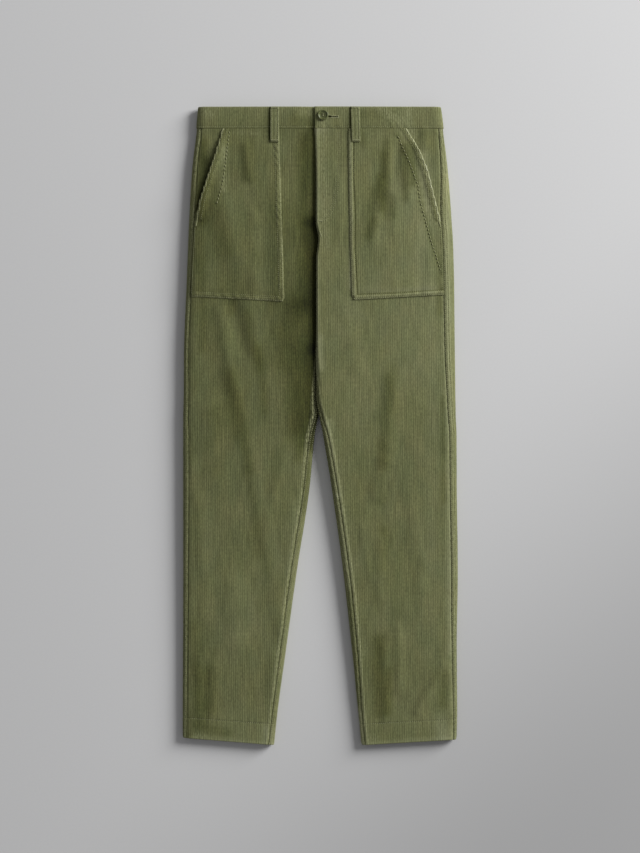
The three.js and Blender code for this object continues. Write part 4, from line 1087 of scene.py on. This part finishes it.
def cut_holes(button):
    bevel = button.modifiers.new("round edges", "BEVEL")
    bevel.width = 0.6 * MM
    bevel.segments = 3
    bevel.angle_limit = math.radians(35)
    only(button)
    bpy.ops.object.modifier_apply(modifier=bevel.name)
    for quarter in range(4):
        angle = math.pi / 4 + quarter * math.pi / 2
        out = HOLE_OUT * Vector((math.cos(angle), math.sin(angle), 0))
        bpy.ops.object.select_all(action="DESELECT")
        bpy.ops.mesh.primitive_cylinder_add(vertices=16, radius=HOLE_RADIUS, depth=0.02,
                                            location=BUTTON_CENTRE + out)
        drill = bpy.context.object
        hole = button.modifiers.new("hole", "BOOLEAN")
        hole.operation, hole.solver, hole.object = "DIFFERENCE", "EXACT", drill
        only(button)
        bpy.ops.object.modifier_apply(modifier=hole.name)
        bpy.data.objects.remove(drill)
    bpy.ops.object.shade_smooth_by_angle(angle=math.radians(40))


cut_holes(BUTTON)
print("button faces:", len(BUTTON.data.polygons))

# %% [markdown]
# ## Stitches
# The seams show their thread: short, plump stitches that dip into the cloth at both ends. One
# stitch is a small bead of 24 triangles, and a row is that bead copied along a line, all in one
# mesh, because thousands of separate objects would be slow.
# %% Rows of stitches
STITCH = {"pitch": 3.4, "length": 2.7, "radius": 0.36}
FACING_STITCH = {"pitch": 6.2, "length": 4.4, "radius": 0.7}
BEAD_RINGS = ((-0.5, 0, -0.5), (-0.3, 0.8, -0.05), (0, 1, 0.12), (0.3, 0.8, -0.05), (0.5, 0, -0.5))
BEAD_POINTS = 14
UP = (0, 0, 1)
THREADS = {}


def add_beads(name, centres, alongs, normals, length, radius):
    """Adds stitches, each a bead with its own middle, direction and normal, to a named mesh."""
    centres, alongs, normals = (np.atleast_2d(v).astype(float) for v in (centres, alongs, normals))
    centres[:, 2] = np.maximum(centres[:, 2], 1.1 * radius)
    alongs = alongs / np.linalg.norm(alongs, axis=1)[:, None]
    sides = np.cross(alongs, normals)
    sides /= np.linalg.norm(sides, axis=1)[:, None]
    ups = np.cross(sides, alongs)
    points = []
    for share, fat, lift in BEAD_RINGS:
        spokes = [0] if fat == 0 else range(4)
        for spoke in spokes:
            angle = math.pi / 4 + spoke * math.pi / 2
            out = fat * radius * (math.cos(angle) * sides + math.sin(angle) * ups)
            points.append(centres + alongs * share * length + out + ups * lift * radius * 2)
    points = np.stack(points, 1).reshape(-1, 3)
    faces = [(0, 1 + (i + 1) % 4, 1 + i) for i in range(4)]
    faces += [(1 + r * 4 + i, 1 + r * 4 + (i + 1) % 4, 5 + r * 4 + (i + 1) % 4, 5 + r * 4 + i)
              for r in range(2) for i in range(4)]
    faces += [(13, 9 + i, 9 + (i + 1) % 4) for i in range(4)]
    store = THREADS.setdefault(name, {"points": [], "faces": [], "count": 0})
    for bead in range(len(centres)):
        base = store["count"] + bead * BEAD_POINTS
        store["faces"] += [tuple(base + v for v in face) for face in faces]
    store["points"].append(points)
    store["count"] += len(points)


def add_row(name, points, normals, stitch=STITCH):
    """Stitches along a line of points in millimetres."""
    pitch, length, radius = stitch["pitch"], stitch["length"], stitch["radius"]
    points, normals = np.asarray(points, float), np.asarray(normals, float)
    run = np.append(0, np.cumsum(np.linalg.norm(np.diff(points, axis=0), axis=1)))
    at = np.arange(pitch / 2, run[-1] - length / 2, pitch)
    if len(at) == 0:
        return

    def read(values, where):
        return np.stack([np.interp(where, run, values[:, i]) for i in range(3)], 1)

    along = read(points, at + length / 2) - read(points, at - length / 2)
    add_beads(name, read(points, at), along, read(normals, at), length, radius)


def stitches_made():
    return sum(store["count"] for store in THREADS.values()) // BEAD_POINTS


def panel_line(panel, lengths, rows, lift):
    """A line on a panel, from a length along the section at each row."""
    points, normals = [], []
    for row in rows:
        section = panel["sections"][row]
        x, z, nx, nz = face_at(section, np.array([lengths[row]]))
        point = place(panel["leg"], x + nx * lift, panel["downs"][row], z + nz * lift)[0]
        points.append(point / MM)
        normals.append((nx[0], 0, nz[0]))
    return points, normals


def top_line(leg, line, lift):
    """A line on a leg's top face, through (x, down) points."""
    line = np.array(line, float)
    run = np.append(0, np.cumsum(np.linalg.norm(np.diff(line, axis=0), axis=1)))
    at = np.arange(0, run[-1], 2)
    x, down = (np.interp(at, run, line[:, i]) for i in range(2))
    z, nx, nd, nz = top_face(leg, x, down)
    lift = np.broadcast_to(lift, x.shape)
    points = place(leg, x + nx * lift, down + nd * lift, z + nz * lift) / MM
    return points, np.stack([nx, -nd, nz], 1)


print("a stitch is", STITCH["length"], "mm long, one every", STITCH["pitch"], "mm")

# %% Sew the panels
for leg in LEGS:
    front, back = PANELS["front_" + leg["name"]], PANELS["back_" + leg["name"]]
    last = len(back["downs"]) - 5
    below = [i for i in range(last) if back["downs"][i] > CROTCH_DOWN + 16]
    for offset in RIDGE_ROWS:
        line = panel_line(back, back["starts"] + offset, range(last), RIDGE_HEIGHT - 0.15)
        add_row("stitching_outseam_" + leg["name"], *line)
        line = panel_line(back, back["ends"] - offset, below, RIDGE_HEIGHT - 0.15)
        add_row("stitching_inseam_" + leg["name"], *line)
    for panel in (front, back):
        section = section_at(leg, HEM_LINE)
        row = int(np.searchsorted(panel["downs"], HEM_LINE))
        at = np.arange(panel["starts"][row] + 2, panel["ends"][row] - 2, 1.5)
        x, z, nx, nz = face_at(section, at)
        points = place(leg, x - nx * 0.15, HEM_LINE, z - nz * 0.15) / MM
        add_row("stitching_hem_" + leg["name"], points, np.stack([nx, nx * 0, nz], 1))
fly = PANELS["front_left"]
rows = [i for i in range(len(fly["downs"])) if fly["downs"][i] < 470]
add_row("stitching_fly", *panel_line(fly, fly["lips"] + FLY_ROW, rows, 0.2))
for side in (0, J_APART):
    add_row("stitching_fly", *top_line(LEFT, J_STITCH - (side, side), -0.15))
print("stitches so far:", stitches_made())

# %% Sew the pockets
for leg in LEGS:
    patch, sizes, side = PATCHES[leg["name"]], POCKETS[leg["name"]], leg["to_outer"]
    name = "stitching_pocket_" + leg["name"]
    for offset in (2, 8):
        down = np.arange(POCKET_TOP + 1, sizes["bottom"][0] - offset, 4)
        line = np.stack([side * (patch["ends"](down)[0] + offset), down], 1)
        add_row(name, *top_line(leg, line, POCKET_LIFT + 0.35))
        low, high = patch["ends"](POCKET_LOW)
        across = np.arange(low + offset, high - 2, 4)
        line = np.stack([side * across, patch["bottom"](across) - offset], 1)
        add_row(name, *top_line(leg, line, POCKET_LIFT + 0.35))
        down = np.arange(POCKET_TOP + 1, OPENING_END, 4)
        high = patch["ends"](down)[1] - offset
        share = (down - POCKET_TOP) / (OPENING_END - POCKET_TOP)
        points, normals = top_line(leg, np.stack([side * high, down], 1), POCKET_LIFT + 0.3)
        gape = np.interp(LENGTH / 2 - points[:, 1], down, sizes["gape"] * np.sin(np.pi * share))
        points[:, 2] += gape * (1 - float(ramp(0, 18, offset)))
        add_row(name, points, normals)
    down = np.arange(OPENING_END, sizes["bottom"][1] - 2, 4)
    high = patch["ends"](down)[1]
    add_row(name, *top_line(leg, np.stack([side * (high - 2), down], 1), POCKET_LIFT - 0.1))
    add_row(name, *top_line(leg, sizes["facing"], POCKET_LIFT + 0.4), stitch=FACING_STITCH)
print("stitches so far:", stitches_made())

# %% Sew the waistband and the loops
for leg in LEGS:
    band = BANDS[leg["name"]]
    for down in BAND_STITCHES:
        row = int(np.argmin(np.abs(BAND_ROWS - down)))
        path = band["paths"][row]
        at = np.arange(3, path["lengths"][-1] - 2, 1.5)
        x, z, nx, nz = band_face(path, at)
        lift = BAND_OUT - 0.2
        points = place(leg, x + nx * lift, down, z + nz * lift) / MM
        add_row("stitching_waistband_" + leg["name"], points, np.stack([nx, nx * 0, nz], 1))
front_loops = [loop for loop in LOOPS.values() if not loop["is_back"]]
for loop in front_loops:
    down = np.arange(3, LOOP_LENGTH - 2, 2.0)
    bow = LOOP_BOW * np.sin(np.pi * np.clip((down - 4.4) / (LOOP_LENGTH - 8), 0, 1))
    for edge in (-1, 1):
        x = loop["x"] + loop["lean"] * down / LOOP_LENGTH + edge * (LOOP_WIDTH / 2 - LOOP_STITCH)
        z = loop_seat(loop["leg"], x, down) + LOOP_SEAT + bow + LOOP_CLOTH - 0.1
        points = place(loop["leg"], x, down, z) / MM
        add_row("stitching_loops", points, np.tile(UP, (len(down), 1)))


def add_bartack(name, leg, x, down, z, direction, length, width, pitch=0.72, radius=0.42):
    """A bar of close stitches side by side. direction is in (x, down), and z its height."""
    direction = np.array(direction, float) / np.hypot(*direction)
    across = np.array([-direction[1], direction[0]])
    shift = np.arange(-length / 2, length / 2 + 0.01, pitch)
    centres = np.stack([x + direction[0] * shift, down + direction[1] * shift], 1)
    points = place(leg, centres[:, 0], centres[:, 1], z) / MM
    lean = across + 0.15 * direction
    along = np.tile((lean[0], -lean[1], 0), (len(shift), 1))
    add_beads(name, points, along, np.tile(UP, (len(shift), 1)), width, radius)


for loop in front_loops:
    for at_end in (2.6, LOOP_LENGTH - 2.2):
        x = loop["x"] + loop["lean"] * at_end / LOOP_LENGTH
        z = float(loop_seat(loop["leg"], x, at_end)) + LOOP_SEAT + LOOP_CLOTH
        add_bartack("stitching_loops", loop["leg"], x, at_end, z, (1, 0), LOOP_WIDTH - 3, 3.2,
                    pitch=1.5, radius=0.6)
# leg, x, down, direction, lift
BARTACKS = [
    (LEFT, 2, 211, (0.35, 1), 0.2),
    (LEFT, 1, 189, (1, 0.2), 0.2),
    (LEFT, 198.3, 195, (0.3, 1), POCKET_LIFT + 0.3),
    (RIGHT, -202.6, 193, (-0.2, 1), POCKET_LIFT + 0.3),
    (LEFT, 144.5, 41, (0.6, 1), POCKET_LIFT + 0.6),
    (RIGHT, -160.5, 41, (-0.4, 1), POCKET_LIFT + 0.6),
]
for leg, x, down, direction, lift in BARTACKS:
    z = float(top_face(leg, np.array([float(x)]), np.array([float(down)]))[0][0]) + lift
    add_bartack("stitching_bartacks", leg, x, down, z, direction, 9, 2.4)
print("stitches so far:", stitches_made())

# %% Sew the buttonhole and sew on the button
shape = shape_at(LEFT, BUTTONHOLE["down"])
along = np.arange(BUTTONHOLE["from"] - 2, BUTTONHOLE["to"] + 0.6, 0.75)
height = top_height(LEFT, shape, along - shape["inner"], BUTTONHOLE["down"], inner_roll=False)
up = np.tile(UP, (len(along), 1))
apart = mix(2.5, 1.35, ramp(EYE_END - 1, EYE_END + 1, along))
for side in (-1, 1):
    lip = place(LEFT, along, BUTTONHOLE["down"] + side * apart, height + BAND_OUT + 0.15) / MM
    add_beads("stitching_buttonhole", lip, np.tile((0.12, 1, 0), (len(along), 1)), up, 1.9, 0.42)
end_z = float(height[-1]) + BAND_OUT + 0.2
add_bartack("stitching_buttonhole", LEFT, BUTTONHOLE["to"] + 1.2, BUTTONHOLE["down"], end_z,
            (0, 1), 5, 2)
dish = (BUTTON_HIGH.z - BUTTON_DISH) / MM
for side in (-1, 1):
    middle = np.array(BUTTON_CENTRE) / MM + (0, side * 1.2, 0)
    strands = np.array([middle + (0, shift, dish - middle[2] + 0.15) for shift in (-0.35, 0.35)])
    add_beads("stitching_button", strands, np.tile((1, 0.06, 0), (2, 1)), np.tile(UP, (2, 1)),
              3.4, 0.45)


def thread_object(name, store):
    mesh = bpy.data.meshes.new(name)
    mesh.from_pydata((np.concatenate(store["points"]) * MM).tolist(), [], store["faces"])
    outwards(mesh)
    mesh.shade_smooth()
    return linked(name, mesh)


THREAD_PIECES = [thread_object(name, store) for name, store in THREADS.items()]
print(len(THREAD_PIECES), "meshes of thread,", stitches_made(), "stitches")

# %% [markdown]
# ## Materials
# Colours are written as they look on a screen and turned to linear light by one function. Nodes
# are added by another, with their settings and links.
# %% Colour and node helpers
def linear(colour):
    channels = [int(colour[i:i + 2], 16) / 255 for i in (1, 3, 5)]
    return [c / 12.92 if c <= 0.04045 else ((c + 0.055) / 1.055) ** 2.4 for c in channels] + [1]


def add_node(tree, kind, inputs=None, **settings):
    """Adds a node. An input is a value, or a (node, output) pair to link from."""
    made = tree.nodes.new(kind)
    for key, value in settings.items():
        setattr(made, key, value)
    for key, value in (inputs or {}).items():
        if isinstance(value, tuple) and isinstance(value[0], bpy.types.Node):
            tree.links.new(value[0].outputs[value[1]], made.inputs[key])
        else:
            made.inputs[key].default_value = value
    return made


def new_material(name):
    material = bpy.data.materials.new(name)
    material.use_nodes = True
    material.node_tree.nodes.clear()
    return material, material.node_tree


print("a mid grey, #808080, is", round(linear("#808080")[0], 3), "in linear light")

# %% [markdown]
# ### Corduroy
# The cloth is cotton, woven with a cut pile and dyed olive. Pile scatters light, so the cloth is
# very rough and has a faint pale sheen where light grazes it. Its valleys are coloured darker than
# the backs of its wales, partly for the ground weave between the wales and partly as painted shade
# in those grooves. Along each wale the pile leans this way and that, which the eye sees as short
# lighter and darker streaks. Dye never takes quite evenly, so green and brown drift slowly.
# %% Corduroy, pile side
CROWN = linear("#6c6f49")
CROWN_GREEN = linear("#696f49")
CROWN_BROWN = linear("#6f6e49")
CROWN_GREY = linear("#6c6f4e")
# Valley colour: the ground weave's own tone and painted shade in the grooves between wales.
VALLEY_TONE_AND_SHADE = linear("#55572f")
RUBBED = linear("#979973")


# name: (stretch along the cloth's two ways, detail)
NOISES = {"drift": ((30, 14, 1), 3.0), "cast": ((16, 11, 1), 2.0), "streak": ((300, 26, 1), 3.0),
          "fleck": ((560, 210, 1), 2.0), "plush": ((46, 22, 1), 3.0), "nap": ((1700, 900, 1), 3.0)}
# name: (noise, from min, from max, to min, to max)
SHARES = {
    "brown": ("drift", 0.35, 0.65, 0.0, 1.0), "grey": ("cast", 0.35, 0.65, 0.0, 1.0),
    "flat": ("plush", 0.35, 0.65, 0.0, 0.5), "tips": ("fleck", 0.35, 0.65, 0.15, 1.0),
    "streaks": ("streak", 0.3, 0.7, 0.84, 1.18), "flecks": ("fleck", 0.3, 0.7, 0.8, 1.2),
    "patches": ("drift", 0.3, 0.7, 0.94, 1.06),
}


def corduroy():
    material, tree = new_material("cotton corduroy, olive, cut pile")
    uv = add_node(tree, "ShaderNodeUVMap", uv_map="cloth")
    noise, share, given = {}, {}, {}
    for label, (scale, detail) in NOISES.items():
        stretched = add_node(tree, "ShaderNodeMapping", {"Vector": (uv, 0), "Scale": scale})
        noise[label] = add_node(tree, "ShaderNodeTexNoise", {
            "Vector": (stretched, 0), "Scale": 1.0, "Detail": detail, "Roughness": 0.55})
    for label, (source, low, high, to_low, to_high) in SHARES.items():
        share[label] = add_node(tree, "ShaderNodeMapRange", {
            "Value": (noise[source], 0), "From Min": low, "From Max": high,
            "To Min": to_low, "To Max": to_high})
    for label in ("wale", "worn", "nap"):
        given[label] = add_node(tree, "ShaderNodeAttribute", attribute_name=label)
    height = add_node(tree, "ShaderNodeMapRange", {
        "Value": (given["wale"], 2), "From Min": 0.05, "From Max": 0.85})

    def blend(factor, a, b):
        return add_node(tree, "ShaderNodeMix", {0: factor, 6: a, 7: b}, data_type="RGBA")

    drifted = blend((share["brown"], 0), CROWN_GREEN, CROWN_BROWN)
    cast = blend((share["grey"], 0), CROWN, CROWN_GREY)
    hue = blend(0.5, (drifted, 2), (cast, 2))
    valley = blend((share["flat"], 0), (hue, 2), VALLEY_TONE_AND_SHADE)
    pile = blend((height, 0), (valley, 2), (hue, 2))
    shade, rubbing = share["streaks"], height
    for label in ("flecks", "patches"):
        shade = add_node(tree, "ShaderNodeMath", {0: (shade, 0), 1: (share[label], 0)},
                         operation="MULTIPLY")
    shaded = add_node(tree, "ShaderNodeVectorMath", {0: (pile, 2), "Scale": (shade, 0)},
                      operation="SCALE")
    # The nap attribute, mostly painted shade and light, darkens and deepens the colour below 0
    # through this gamma, and pales it above 0.
    depth = add_node(tree, "ShaderNodeMath", {0: (given["nap"], 2), 1: -0.4, 2: 1.0},
                     operation="MULTIPLY_ADD")
    shaded = add_node(tree, "ShaderNodeGamma", {"Color": (shaded, 0), "Gamma": (depth, 0)})
    for factor in ((given["worn"], 2), (share["tips"], 0)):
        rubbing = add_node(tree, "ShaderNodeMath", {0: (rubbing, 0), 1: factor},
                           operation="MULTIPLY")
    rubbed = blend((rubbing, 0), (shaded, 0), RUBBED)
    bump = add_node(tree, "ShaderNodeBump", {
        "Height": (noise["nap"], 0), "Strength": 0.35, "Distance": 0.0004})
    surface = add_node(tree, "ShaderNodeBsdfPrincipled", {
        "Base Color": (rubbed, 2), "Roughness": 0.93, "Normal": (bump, 0),
        "Specular IOR Level": 0.2, "Sheen Weight": 0.22, "Sheen Roughness": 0.45,
        "Sheen Tint": linear("#b9bb95")})
    add_node(tree, "ShaderNodeOutputMaterial", {"Surface": (surface, 0)})
    return material


CORDUROY = corduroy()
print(CORDUROY.name, "has", len(CORDUROY.node_tree.nodes), "nodes")

# %% [markdown]
# The back of corduroy has no pile. It is a plain cotton weave, a little paler and smoother, and it
# shows only inside the waist, the legs and the pockets. Its threads are drawn about 1.6 mm apart,
# coarser than real, so that they can be seen at all.
# %% Corduroy, reverse side
def corduroy_reverse():
    material, tree = new_material("cotton corduroy, plain woven reverse")
    uv = add_node(tree, "ShaderNodeUVMap", uv_map="cloth")
    threads = []
    for direction in ("X", "Y"):
        threads.append(add_node(tree, "ShaderNodeTexWave", {
            "Vector": (uv, 0), "Scale": 200.0, "Distortion": 0.6, "Detail": 1.0,
        }, bands_direction=direction))
    woven = add_node(tree, "ShaderNodeMath", {0: (threads[0], 1), 1: (threads[1], 1)},
                     operation="MULTIPLY")
    colour = add_node(tree, "ShaderNodeMix", {
        0: (woven, 0), 6: linear("#55573c"), 7: linear("#6e704f")}, data_type="RGBA")
    bump = add_node(tree, "ShaderNodeBump", {
        "Height": (woven, 0), "Strength": 0.5, "Distance": 0.0003})
    surface = add_node(tree, "ShaderNodeBsdfPrincipled", {
        "Base Color": (colour, 2), "Roughness": 0.9, "Normal": (bump, 0),
        "Specular IOR Level": 0.25})
    add_node(tree, "ShaderNodeOutputMaterial", {"Surface": (surface, 0)})
    return material


REVERSE = corduroy_reverse()
print(REVERSE.name, "has", len(REVERSE.node_tree.nodes), "nodes")

# %% [markdown]
# ### Thread and button
# The thread is spun polyester, dyed to match: a little glossier than the cloth, with its twist
# drawn as fine mottling. The button is moulded polyester resin, dyed through, with a soft gloss and
# faint cloudy marbling.
# %% Thread
def sewing_thread():
    material, tree = new_material("spun polyester thread, dyed to match")
    place_in = add_node(tree, "ShaderNodeTexCoord")
    twist = add_node(tree, "ShaderNodeTexNoise", {
        "Vector": (place_in, 3), "Scale": 900.0, "Detail": 2.0})
    colour = add_node(tree, "ShaderNodeMix", {
        0: (twist, 0), 6: linear("#818358"), 7: linear("#a9ab80")}, data_type="RGBA")
    bump = add_node(tree, "ShaderNodeBump", {
        "Height": (twist, 0), "Strength": 0.3, "Distance": 0.0002})
    surface = add_node(tree, "ShaderNodeBsdfPrincipled", {
        "Base Color": (colour, 2), "Roughness": 0.6, "Normal": (bump, 0),
        "Specular IOR Level": 0.4, "Sheen Weight": 0.2})
    add_node(tree, "ShaderNodeOutputMaterial", {"Surface": (surface, 0)})
    return material


THREAD = sewing_thread()
print(THREAD.name, "has", len(THREAD.node_tree.nodes), "nodes")


# %% Button resin
def button_resin():
    material, tree = new_material("moulded polyester resin button, olive")
    place_in = add_node(tree, "ShaderNodeTexCoord")
    clouds = add_node(tree, "ShaderNodeTexNoise", {
        "Vector": (place_in, 3), "Scale": 260.0, "Detail": 3.0, "Distortion": 1.5})
    spots = add_node(tree, "ShaderNodeMapRange", {
        "Value": (clouds, 0), "From Min": 0.35, "From Max": 0.65})
    colour = add_node(tree, "ShaderNodeMix", {
        0: (spots, 0), 6: linear("#484d29"), 7: linear("#6c7346")}, data_type="RGBA")
    rough = add_node(tree, "ShaderNodeMapRange", {
        "Value": (clouds, 0), "From Min": 0.3, "From Max": 0.7, "To Min": 0.26, "To Max": 0.42})
    surface = add_node(tree, "ShaderNodeBsdfPrincipled", {
        "Base Color": (colour, 2), "Roughness": (rough, 0), "IOR": 1.55})
    add_node(tree, "ShaderNodeOutputMaterial", {"Surface": (surface, 0)})
    return material


RESIN = button_resin()
print(RESIN.name, "has", len(RESIN.node_tree.nodes), "nodes")

# %% [markdown]
# ## Dress the model
# Each piece gets its finish and stands for its node of the imported model, which is hidden. There
# is one body, so everything rides on it.
def dress(piece, node, materials):
    for material in materials:
        piece.data.materials.append(material)
    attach(piece, "root")
    if node:
        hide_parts(node)


for name, panel in PANELS.items():
    dress(panel["piece"], name, [CORDUROY, REVERSE])
for side, patch in PATCHES.items():
    dress(patch["piece"], "pocket_" + side, [CORDUROY, REVERSE])
for side, band in BANDS.items():
    dress(band["piece"], "waistband_" + side, [CORDUROY])
for name, loop in LOOPS.items():
    dress(loop["piece"], name, [CORDUROY])
dress(BUTTON, "button", [RESIN])
for piece in THREAD_PIECES:
    dress(piece, None, [THREAD])
count = sum(len(p.vertices) - 2 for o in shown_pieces() if o.type == "MESH" for p in o.data.polygons)
print("triangles in all:", count)

# %% [markdown]
# ## Surface, light and camera
# The trousers lie on a plain pale surface, seen from straight above. The light is large and soft
# and comes from the upper right, so each fold is bright on its right and dark on its left, and
# the surface grows darker away from the light. Part of that darkening is painted shade: the
# surface's colour is painted darker towards the lower right.
# %% Floor
FLOOR_SIZE = 8
FLOOR_GAP = 0.3 * MM
# The direction in which painted shade darkens the surface's colour, towards the lower right.
PAINTED_SHADE_TOWARDS = (0.75, -0.66, 0)


def pale_floor():
    bpy.ops.object.select_all(action="DESELECT")
    bpy.ops.mesh.primitive_plane_add(size=FLOOR_SIZE, location=(0, 0, -FLOOR_GAP))
    floor = bpy.context.object
    floor.name = "floor"
    material, tree = new_material("matt pale grey paper")
    grain = add_node(tree, "ShaderNodeTexCoord")
    specks = add_node(tree, "ShaderNodeTexNoise", {"Vector": (grain, 3), "Scale": 300.0})
    paper = add_node(tree, "ShaderNodeMix", {
        0: (specks, 0), 6: linear("#d4d4d4"), 7: linear("#d8d8d8")}, data_type="RGBA")
    # Painted shade: the paper's colour is mixed towards a darker grey towards the lower right.
    along = add_node(tree, "ShaderNodeVectorMath", {0: (grain, 3), 1: PAINTED_SHADE_TOWARDS},
                     operation="DOT_PRODUCT")
    away = add_node(tree, "ShaderNodeMapRange", {
        "Value": (along, 1), "From Min": 0.1, "From Max": 0.8}, interpolation_type="SMOOTHSTEP")
    colour = add_node(tree, "ShaderNodeMix", {
        0: (away, 0), 6: (paper, 2), 7: linear("#b3b3b3")}, data_type="RGBA")
    surface = add_node(tree, "ShaderNodeBsdfPrincipled", {
        "Base Color": (colour, 2), "Roughness": 0.95, "Specular IOR Level": 0.1})
    add_node(tree, "ShaderNodeOutputMaterial", {"Surface": (surface, 0)})
    floor.data.materials.append(material)
    floor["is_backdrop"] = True
    return floor


print("the surface is", round(pale_floor().dimensions.x, 2), "m wide")

# %% Light
LIGHT_SIZE = 3.4
LIGHT_AT = (4.75, 2.9, 2.5)
LIGHT_POWER = 528


def soft_light():
    lamp = bpy.data.lights.new("softbox", "AREA")
    lamp.shape = "DISK"
    lamp.size = LIGHT_SIZE
    lamp.energy = LIGHT_POWER
    light = linked("softbox", lamp)
    light.location = LIGHT_AT
    light.rotation_euler = light.location.to_track_quat("Z", "Y").to_euler()
    light.visible_camera = False
    return light


SOFTBOX = soft_light()
world = bpy.data.worlds.new("room")
world.use_nodes = True
world.node_tree.nodes["Background"].inputs["Color"].default_value = linear("#e8e8ea")
world.node_tree.nodes["Background"].inputs["Strength"].default_value = 0.29
bpy.context.scene.world = world
bpy.context.scene.view_settings.view_transform = "Standard"
print("the light is", round(SOFTBOX.location.length, 2), "m away")

# %% Camera
LENS = 85
SENSOR = 36
VIEW_HEIGHT = 1.407
CAMERA_AT = (-0.0008, -0.0007)
camera_data = bpy.data.cameras.new("camera")
camera_data.lens = LENS
camera_data.sensor_width = SENSOR
camera = linked("camera", camera_data)
camera.location = (*CAMERA_AT, VIEW_HEIGHT * LENS / SENSOR + 0.012)
bpy.context.scene.camera = camera
print("camera stands", round(camera.location.z, 2), "m above the surface")

# %% Keep the two boxes and finish
LOOK_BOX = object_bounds()
grown = (LOOK_BOX[1] - LOOK_BOX[0]) - (CAD_BOX[1] - CAD_BOX[0])
print("grown by", [round(size / MM, 1) for size in grown], "mm")
